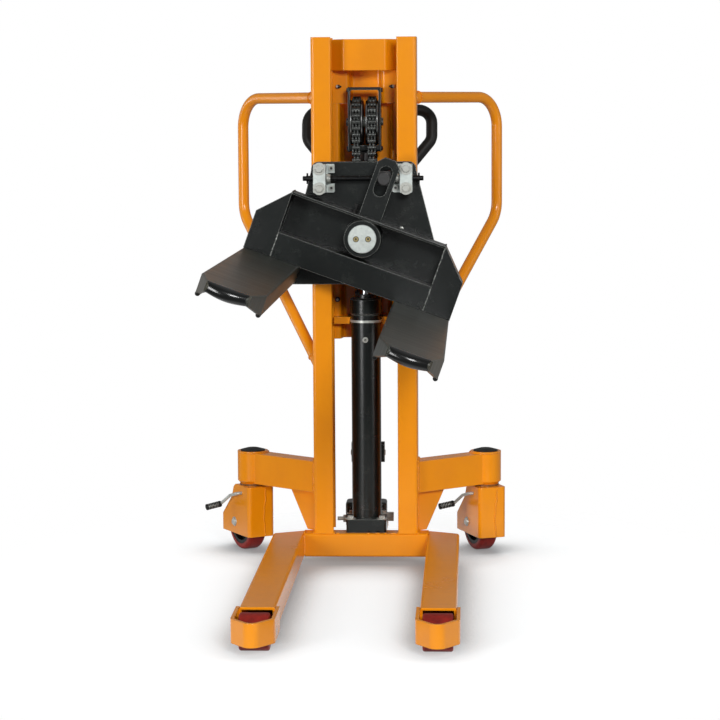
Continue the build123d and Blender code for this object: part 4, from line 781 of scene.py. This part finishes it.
# lift cylinder: bolts of its foot, and a dark socket on its bleed screw, painted shade of the screw's hole
cylinderBolts = {
    "x": 40.0, "y": (26.0, 104.0), "z": 115.0, "head": (15.0, 6.5, 2.0),
    "bleedAt": (0.0, 23.6, 574.0), "bleedHoleShade": (3.0, 0.9, 3.0, 0.8),
}
shape = bmesh.new()
for side in bothSides.values():
    for y in cylinderBolts["y"]:
        foot = onSide(side, cylinderBolts["x"], y, cylinderBolts["z"])
        hexBolt(shape, foot, zWay, *cylinderBolts["head"])
addPiece("cylinderFootBolts", shape, "chassis", "zinc_plate")
shape = bmesh.new()
# a small dark socket: painted shade in the bleed screw's hole
socketScrew(shape, Vector(cylinderBolts["bleedAt"]), -yWay, *cylinderBolts["bleedHoleShade"])
addPiece("bleedScrewHoleShade", shape, "chassis", "dark_steel")
print("bolts set")


# casters: each housing is turned a little at rest
caster = {
    "x": 305.0, "y": 195.0, "turn": {"Left": 31.0, "Right": 21.5},
    "trail": 38.0, "wheelZ": 75.0, "halfWidth": 37.5,
}
axleHead = {
    "axle": 7.9, "radius": 10.0, "height": 6.0, "straight": (1.4, 2.4),
    "washer": ((2.2, 0), (2.5, 0.5), (2.2, 1.4)),  # past the head's radius, and height
    "dome": ((0.93, 0.68), (0.7, 0.92), (0.3, 1.0)),  # shares of the head's radius and height
}
thrustRing = {"z": 176.2, "tall": 5.2, "radius": 34.6, "inset": 2.0, "edge": 0.6, "groove": 1.2}
housingSeam = {
    "x": 48.5, "y": 9.0, "low": 46.0, "high": 172.0, "steps": 21, "wander": ((2.4, 0.05), (1.0, 0.19)),
    "width": 2.5, "pitch": 4.0,
}
brakeGrip = {
    "root": (-72.0, -61.5, 119.0), "end": (-81.0, -99.5, 111.0), "past": 1.5, "radius": 8.3, "length": 41.0,
    "mouth": 4.2, "grooves": 7, "grooveFrom": 6.0, "groovePitch": 4.2, "grooveDepth": 0.8,
}


def casterWays(name):  # forward and inward
    turn = radians(caster["turn"][name])
    return Vector((sin(turn), -cos(turn), 0)), Vector((cos(turn), sin(turn), 0))


def onCaster(name, x, y, z):
    forward, inward = casterWays(name)
    return onSide(bothSides[name], caster["x"], caster["y"], 0) + forward * x + inward * y + zWay * z


def buttonHead(radius, height):
    washer = [(radius + out, up) for out, up in axleHead["washer"]]
    straight = [(radius, up) for up in axleHead["straight"]]
    return washer + straight + [(radius * wide, height * up) for wide, up in axleHead["dome"]]


def grooved(radius, tall):  # profile of a thrust ring with a groove round its middle
    inset, edge, groove = (thrustRing[k] for k in ("inset", "edge", "groove"))
    low = [(radius - inset, 0), (radius, edge), (radius, tall * 0.4), (radius - groove, tall * 0.5)]
    return low + [(radius, tall * 0.6), (radius, tall - edge), (radius - inset, tall)]


def gripProfile(radius, length):  # a round mouth, rings of grooves and a domed end
    profile = [(brakeGrip["mouth"], -2.5), (radius - 1.6, -2.0), (radius, 1.0)]
    floorRadius = radius - brakeGrip["grooveDepth"]
    for i in range(brakeGrip["grooves"]):
        h = brakeGrip["grooveFrom"] + i * brakeGrip["groovePitch"]
        profile += [(radius, h), (floorRadius, h + 0.7), (floorRadius, h + 1.5), (radius, h + 2.2)]
    return profile + [(radius, length - 3.0), (radius - 1.0, length - 1.0), (radius - 3.5, length)]


for name in bothSides:
    body = "caster_" + name.lower()
    inward = casterWays(name)[1]
    shape = bmesh.new()
    for way in (-1, 1):
        seat = onCaster(name, -caster["trail"], way * caster["halfWidth"], caster["wheelZ"])
        turned(shape, seat, inward * way, buttonHead(axleHead["radius"], axleHead["height"]))
    axleFoot = onCaster(name, -caster["trail"], -caster["halfWidth"], caster["wheelZ"])
    turned(shape, axleFoot, inward, [(axleHead["axle"], 0), (axleHead["axle"], 2 * caster["halfWidth"])])
    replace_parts(addPiece("casterAxle" + name, shape, body, "zinc_plate"), "caster_axle_" + name.lower())

    shape = bmesh.new()
    ringProfile = grooved(thrustRing["radius"], thrustRing["tall"])
    turned(shape, onCaster(name, 0, 0, thrustRing["z"]), zWay, ringProfile, count=48)
    addPiece("thrustRing" + name, shape, body, "dark_steel")

    shape = bmesh.new()
    points = []
    for i in range(housingSeam["steps"] + 1):
        z = housingSeam["low"] + (housingSeam["high"] - housingSeam["low"]) * i / housingSeam["steps"]
        aside = sum(size * sin(z * rate) for size, rate in housingSeam["wander"])
        points.append(onCaster(name, housingSeam["x"], housingSeam["y"] + aside, z))
    for low, high in zip(points, points[1:]):
        weld(shape, low, high, housingSeam["width"], housingSeam["pitch"])
    addPiece("housingSeam" + name, shape, body, "orange_paint")

    shape = bmesh.new()
    gripEnd = onCaster(name, *brakeGrip["end"])
    axis = (gripEnd - onCaster(name, *brakeGrip["root"])).normalized()
    gripFoot = gripEnd - axis * (brakeGrip["length"] - brakeGrip["past"])
    turned(shape, gripFoot, axis, gripProfile(brakeGrip["radius"], brakeGrip["length"]), count=28)
    addPiece("brakeGrip" + name, shape, "brake_" + name.lower(), "black_plastic")
print("casters fitted")


# welds of the chassis, painted over
chassisWelds = {
    "fillet": 4.0, "fine": 2.6, "hairline": 1.3,
    "beads": (  # start, end, width and turn, on each side
        ((82.0, 1.0, 81.0), (82.0, 8.0, 81.0), "fillet", 0.0),  # feet of the uprights on the crossbar
        ((83.0, 8.0, 81.0), (124.0, 8.0, 81.0), "fillet", 0.0),
        ((124.0, 8.0, 81.0), (124.0, 60.0, 81.0), "fillet", 0.0),
        ((132.0, 2.0, 81.0), (132.0, 60.0, 81.0), "fillet", 1.0),
        ((84.0, 0.0, 81.3), (130.0, 0.0, 81.3), "hairline", 0.0),
        ((157.0, 0.4, 25.0), (157.0, 0.4, 78.0), "fillet", 2.0),  # ends of the crossbar on the legs
        ((157.0, 3.0, 81.0), (157.0, 44.0, 81.0), "fine", 0.0),
        ((132.0, 21.0, 182.6), (132.0, 89.0, 182.6), "fine", 0.0),  # arms and gussets on the uprights
        ((132.4, 16.5, 186.0), (132.4, 16.5, 260.0), "fillet", 0.5),
        ((132.4, 20.0, 263.4), (132.4, 90.0, 263.4), "fillet", 1.5),
        ((132.6, 50.0, 84.0), (132.6, 50.0, 181.0), "fine", 0.3),
    ),
    "legAt": 197.0, "guardHalf": 40.0, "guardY": -852.0, "guardLow": 28.0, "guardHigh": 77.0,
    "armWay": (173.0, 140.0, 0.0), "swivelZ": 263.4, "swivelShift": 2.0,
    "swivelRing": (40.0, 1.6, 0.999),  # radius, width and share of the round
    "spots": ((-76.0, 9.0), (2.0, 8.0), (24.0, 11.0), (46.0, 7.0), (62.0, 16.0), (84.0, 7.0)),  # x and run
    "spotY": 1.6, "spotZ": 81.2,
    "handles": (  # root, way and place along it of the ends of a push handle
        ((132.5, 80.5, 1184.0), (203.0, 255.0, 0.0), 2.0),
        ((132.5, 80.5, 525.5), (203.0, 255.0, 355.0), 3.0),
    ),
    "handleRing": (14.2, 2.4),
}
shape = bmesh.new()
for side in bothSides.values():
    for start, end, width, turn in chassisWelds["beads"]:
        weld(shape, onSide(side, *start), onSide(side, *end), chassisWelds[width], turn=turn)
    for edge in (-chassisWelds["guardHalf"], chassisWelds["guardHalf"]):  # nose guards on the legs
        x, y = side * chassisWelds["legAt"] + edge, chassisWelds["guardY"]
        start, end = (x, y, chassisWelds["guardLow"]), (x, y, chassisWelds["guardHigh"])
        weld(shape, start, end, chassisWelds["fillet"], turn=edge)
    centre = onSide(side, caster["x"], caster["y"], chassisWelds["swivelZ"])  # swivel tubes in the arms
    centre = centre - onSide(side, *chassisWelds["armWay"]).normalized() * chassisWelds["swivelShift"]
    ringWeld(shape, centre, zWay, *chassisWelds["swivelRing"])
    for root, way, place in chassisWelds["handles"]:
        way = onSide(side, *way).normalized()
        ringWeld(shape, onSide(side, *root) + way * place, way, *chassisWelds["handleRing"])
for x, run in chassisWelds["spots"]:  # along the crossbar's front edge
    start = Vector((x, chassisWelds["spotY"], chassisWelds["spotZ"]))
    weld(shape, start, start + xWay * run, chassisWelds["fine"], turn=x)
addPiece("chassisWeldBeads", shape, "chassis", "orange_paint", crease=60.0)
print("chassis welds laid")


# welds of the tilting frame, placed along, square to and in front of its pivot
frameWelds = {
    "fillet": 2.6, "front": -113.0, "back": -34.0,
    "sideAt": 200.0, "sideLow": (-116.0, -58.0), "sideHigh": (-46.0, 46.0), "highLift": 0.6,
    "lowRow": (0.5, 16.0, 7.0, 1.6), "highRow": (0.45, 12.0, 5.0, 1.4),  # width share, dash, gap and sway
    "flange": 52.2, "flangeY": (-30.0, -112.0), "flangeShare": 0.7,
    "foot": -118.5, "footAt": (127.0, 268.0), "footShare": 0.8,
    "leverHalf": 28.5, "leverY": (-78.0, -90.0), "leverFront": (27.0, -90.2),
    "hub": 46.6, "hubShare": 0.999, "beam": -52.8, "beamRows": ((-194.0, -48.0), (48.0, 194.0)),
    "beamDash": 34.0, "beamGap": 30.0,
}


def onFrame(u, v, y):
    return Vector((0, y, tiltFrame["pivotZ"])) + along * u + square * v


unevenRow = {
    "least": 0.4, "spread": 0.9, "dashRate": 1.7, "dashStart": 0.4, "gapRate": 2.3,
    "swayRate": 2.9, "swayBack": 0.6,
}


def uneven(angle):  # a share that changes from bead to bead
    return unevenRow["least"] + unevenRow["spread"] * abs(sin(angle))


def weldRow(shape, start, end, width, dash, gap, sway=0.0):  # short uneven beads with gaps between
    run = end - start
    way = run.normalized()
    aside = way.cross(yWay) * sway
    place, count = 0.0, 0
    while place + dash * unevenRow["least"] < run.length:
        dashRun = dash * uneven(count * unevenRow["dashRate"] + unevenRow["dashStart"])
        stop = min(place + dashRun, run.length)
        shift = aside * sin(count * unevenRow["swayRate"])
        low, high = start + way * place + shift, start + way * stop - shift * unevenRow["swayBack"]
        weld(shape, low, high, width, turn=count)
        place = stop + gap * uneven(count * unevenRow["gapRate"])
        count += 1


shape, bright = bmesh.new(), bmesh.new()
fillet, front, back, flange = (frameWelds[k] for k in ("fillet", "front", "back", "flange"))
lowShare, *lowRow = frameWelds["lowRow"]
for side in bothSides.values():
    u = side * frameWelds["sideAt"]
    low, high = (onFrame(u, v, front) for v in frameWelds["sideLow"])
    weldRow(bright, low, high, fillet * lowShare, *lowRow)
    rear, fore = (onFrame(u, flange, y) for y in frameWelds["flangeY"])
    weld(shape, rear, fore, fillet * frameWelds["flangeShare"])
    inner, outer = (onFrame(side * at, frameWelds["foot"], front) for at in frameWelds["footAt"])
    weld(shape, inner, outer, fillet * frameWelds["footShare"], turn=side)
    rear, fore = (onFrame(side * frameWelds["leverHalf"], flange, y) for y in frameWelds["leverY"])
    weld(shape, rear, fore, fillet)
leverHalf, leverFront = frameWelds["leverFront"]
weld(shape, onFrame(-leverHalf, flange, leverFront), onFrame(leverHalf, flange, leverFront), fillet)
ringWeld(shape, onFrame(0, 0, back), yWay, frameWelds["hub"], fillet, frameWelds["hubShare"])
for row in frameWelds["beamRows"]:
    start, end = (onFrame(u, frameWelds["beam"], back) for u in row)
    weldRow(shape, start, end, fillet, frameWelds["beamDash"], frameWelds["beamGap"])
addPiece("tiltFrameWeldBeads", shape, "tilt_frame", "black_paint", crease=60.0)
highShare, *highRow = frameWelds["highRow"]
lifted = front + frameWelds["highLift"]
low, high = (onFrame(frameWelds["sideAt"], v, lifted) for v in frameWelds["sideHigh"])
weldRow(bright, low, high, fillet * highShare, *highRow)
addPiece("tiltFrameBareWelds", bright, "tilt_frame", "black_paint", crease=60.0, finish=bareWeld)


# lacquered bars across the fork noses, and caps on the ends of the bars below
noseBar = {
    "half": 45.4, "y": -1098.5, "top": -117.0, "height": 24.0, "sag": 6.0, "reach": 10.0, "bow": 9.0,
    "lap": 4.0, "flatness": 0.8, "steps": 20, "columns": 40,
}
edgeBarCap = {"u": 67.5, "v": -162.5, "y": -982.5, "radius": 5.6, "length": 9.0}


def capProfile(radius, length):
    foot = [(radius - 0.3, 0), (radius, 0.4)]
    return foot + [(radius, length - 2.0), (radius - 0.8, length - 0.6), (radius - 2.4, length)]


shape, caps = bmesh.new(), bmesh.new()
for side in bothSides.values():
    middle = side * tiltFrame["forkAt"]
    loops = []
    for k in range(noseBar["columns"] + 1):
        across = 2 * k / noseBar["columns"] - 1
        swell = cos(pi * across / 2)  # fullest at the middle
        height = noseBar["height"] + noseBar["sag"] * swell
        reach = noseBar["reach"] + noseBar["bow"] * swell
        rim = [(0.0, -noseBar["lap"])]
        for i in range(noseBar["steps"] + 1):
            angle = pi * i / noseBar["steps"]
            rim.append((height * (1 - cos(angle)) / 2, reach * max(0.0, sin(angle)) ** noseBar["flatness"]))
        rim.append((height, -noseBar["lap"]))
        u = middle + across * noseBar["half"]
        points = [onFrame(u, noseBar["top"] - drop, noseBar["y"] - forth) for drop, forth in rim]
        loops.append([shape.verts.new(point) for point in points])
    joinLoops(shape, loops)
    for edge in (-1, 1):
        foot = onFrame(middle + edge * edgeBarCap["u"], edgeBarCap["v"], edgeBarCap["y"])
        turned(caps, foot, -yWay, capProfile(edgeBarCap["radius"], edgeBarCap["length"]), count=24)
addPiece("noseBars", shape, "tilt_frame", "black_paint", crease=40.0, finish=lipGloss)
addPiece("edgeBarCaps", caps, "tilt_frame", "black_plastic")


# stop screw with its lock nut on the frame's top flange
stopScrew = {
    "u": -40.0, "v": 52.0, "y": -72.0, "nut": (13.0, 6.5, 1.5), "head": (13.0, 5.3), "headFrom": 16.5,
    "radius": 4.0, "shankTop": 17.0, "thread": (0.5, 8.0, 0.8, 11),  # depth, start, step and count
}
shape = bmesh.new()
foot = onFrame(stopScrew["u"], stopScrew["v"], stopScrew["y"])
hexBolt(shape, foot, square, *stopScrew["nut"])
shank = [(stopScrew["radius"], 0)] + ridges(stopScrew["radius"], *stopScrew["thread"])
turned(shape, foot, square, shank + [(stopScrew["radius"], stopScrew["shankTop"])], count=20)
hexBolt(shape, foot + square * stopScrew["headFrom"], square, *stopScrew["head"])
addPiece("stopScrew", shape, "tilt_frame", "dark_steel")
print("tilting frame welded")


# chain head: bolts at the corners of its cage, the lock nut under it, bushes and bright rims of the sheaves
axleY, axleZ = chain["axle"]
chainHead = {"half": 41.5, "spread": 15.0, "rows": (1203.0, 1056.5), "bolt": (10.0, 3.6)}
lockNut = {"z": 1018.0, "flats": 46.0, "tall": 30.3, "bore": 16.1, "edge": 3.0, "corner": 0.5}
sheaveBush = {
    "face": 15.6, "profile": ((10.2, -0.5), (17.0, -0.5), (17.0, 0.0), (15.8, 0.45), (10.2, 0.45)),
    "spacerBore": 10.1, "spacerRadius": 14.0, "spacerWidth": 6.0, "spacerEdge": 0.8,
}
sheaveRim = {
    "flanges": (4.0, 31.0), "wall": 4.0, "radius": 56.15, "inner": 53.5,
    "inset": 0.9, "bevel": 0.7, "proud": 0.1,
}
shape = bmesh.new()
for side in bothSides.values():
    for z in chainHead["rows"]:
        for y in (axleY - chainHead["spread"], axleY + chainHead["spread"]):
            hexBolt(shape, onSide(side, chainHead["half"], y, z), xWay * side, *chainHead["bolt"])
addPiece("chainHeadBolts", shape, "ram", "dark_steel")

shape = bmesh.new()
bore, tall, edge = circle(lockNut["bore"]), lockNut["tall"], lockNut["edge"]
nut, nutEnd = hexagon(lockNut["flats"]), hexagon(lockNut["flats"], lockNut["corner"])
rings = [(bore, 0), (nutEnd, 0), (nut, edge), (nut, tall - edge), (nutEnd, tall), (bore, tall), (bore, 0)]
skin(shape, Vector((0, axleY, lockNut["z"])), zWay, rings, capped=False)
addPiece("rodLockNut", shape, "ram", "dark_steel")

shape = bmesh.new()
for side in bothSides.values():
    for way in (-1, 1):
        face = Vector((side * chain["apart"] + way * sheaveBush["face"], axleY, axleZ))
        turned(shape, face, xWay * way, sheaveBush["profile"], count=36, capped=False)
width = sheaveBush["spacerWidth"]
spacer = barrel(sheaveBush["spacerRadius"], width, sheaveBush["spacerEdge"])
spacer = [(sheaveBush["spacerBore"], 0)] + spacer + [(sheaveBush["spacerBore"], width)]
turned(shape, Vector((-width / 2, axleY, axleZ)), xWay, spacer, count=36, capped=False)
addPiece("sheaveBushes", shape, "ram", "zinc_plate")

radius, inner, wall = (sheaveRim[k] for k in ("radius", "inner", "wall"))
inset, bevel, proud = (sheaveRim[k] for k in ("inset", "bevel", "proud"))
rim = [
    (inner, -proud), (radius - inset, -proud), (radius, bevel),
    (radius, wall - bevel), (radius - inset, wall + proud), (inner, wall + proud),
]
for name, side in bothSides.items():
    shape = bmesh.new()
    for x in sheaveRim["flanges"]:
        turned(shape, onSide(side, x, axleY, axleZ), xWay * side, rim, count=72, capped=False)
    addPiece("sheaveRims" + name, shape, "sheave_" + name.lower(), "dark_steel", finish=brightRim)
print("chain head bolted")


# rubber sleeve round the hand loop of the tiller
tillerGrip = {
    "pin": (0.0, 152.0, 268.0), "lean": 12.5, "sideCorner": (164.0, 826.0), "topCorner": (164.0, 905.0),
    "foot": (25.0, 655.0), "stop": 0.72,  # the sleeve ends at this share of the way to the loop's foot
    "bend": 36.0, "radius": 15.0, "lip": 14.0, "lipLength": 2.0, "around": 20, "turnSteps": 8,
}
lean = radians(tillerGrip["lean"])
upLoop = Vector((0, sin(lean), cos(lean)))
offLoop = Vector((0, -cos(lean), sin(lean)))


def roundedPath(corners, bend, steps):  # straight runs joined by arcs of one radius
    path = [corners[0]]
    for before, corner, after in zip(corners, corners[1:], corners[2:]):
        inward, outward = (corner - before).normalized(), (after - corner).normalized()
        turn = inward.angle(outward)
        middle = corner + (outward - inward).normalized() * bend / cos(turn / 2)
        spoke = corner - inward * bend * tan(turn / 2) - middle
        axis = inward.cross(outward).normalized()
        path += [middle + Matrix.Rotation(turn * i / steps, 3, axis) @ spoke for i in range(steps + 1)]
    return path + [corners[-1]]


def onLoop(u, v):
    return Vector(tillerGrip["pin"]) + xWay * u + upLoop * v


shape = bmesh.new()
corners = [onLoop(*tillerGrip[corner]) for corner in ("foot", "sideCorner", "topCorner")]
corners[0] = corners[1].lerp(corners[0], tillerGrip["stop"])
corners += [Vector((-corner.x, corner.y, corner.z)) for corner in corners[::-1]]
path = roundedPath(corners, tillerGrip["bend"], tillerGrip["turnSteps"])
ways = [(after - before).normalized() for before, after in zip(path[:1] + path, path[1:] + path[-1:])]
places = [(place, way, tillerGrip["radius"]) for place, way in zip(path, ways)]
firstLip = (path[0] - ways[0] * tillerGrip["lipLength"], ways[0], tillerGrip["lip"])
lastLip = (path[-1] + ways[-1] * tillerGrip["lipLength"], ways[-1], tillerGrip["lip"])
loops = []
for place, way, radius in [firstLip] + places + [lastLip]:
    aside = way.cross(offLoop)
    outline = circle(radius, tillerGrip["around"])
    loops.append([shape.verts.new(place + aside * a + offLoop * b) for a, b in outline])
joinLoops(shape, loops)
addPiece("tillerGripSleeve", shape, "tiller", "black_plastic")
print("tiller grip drawn")
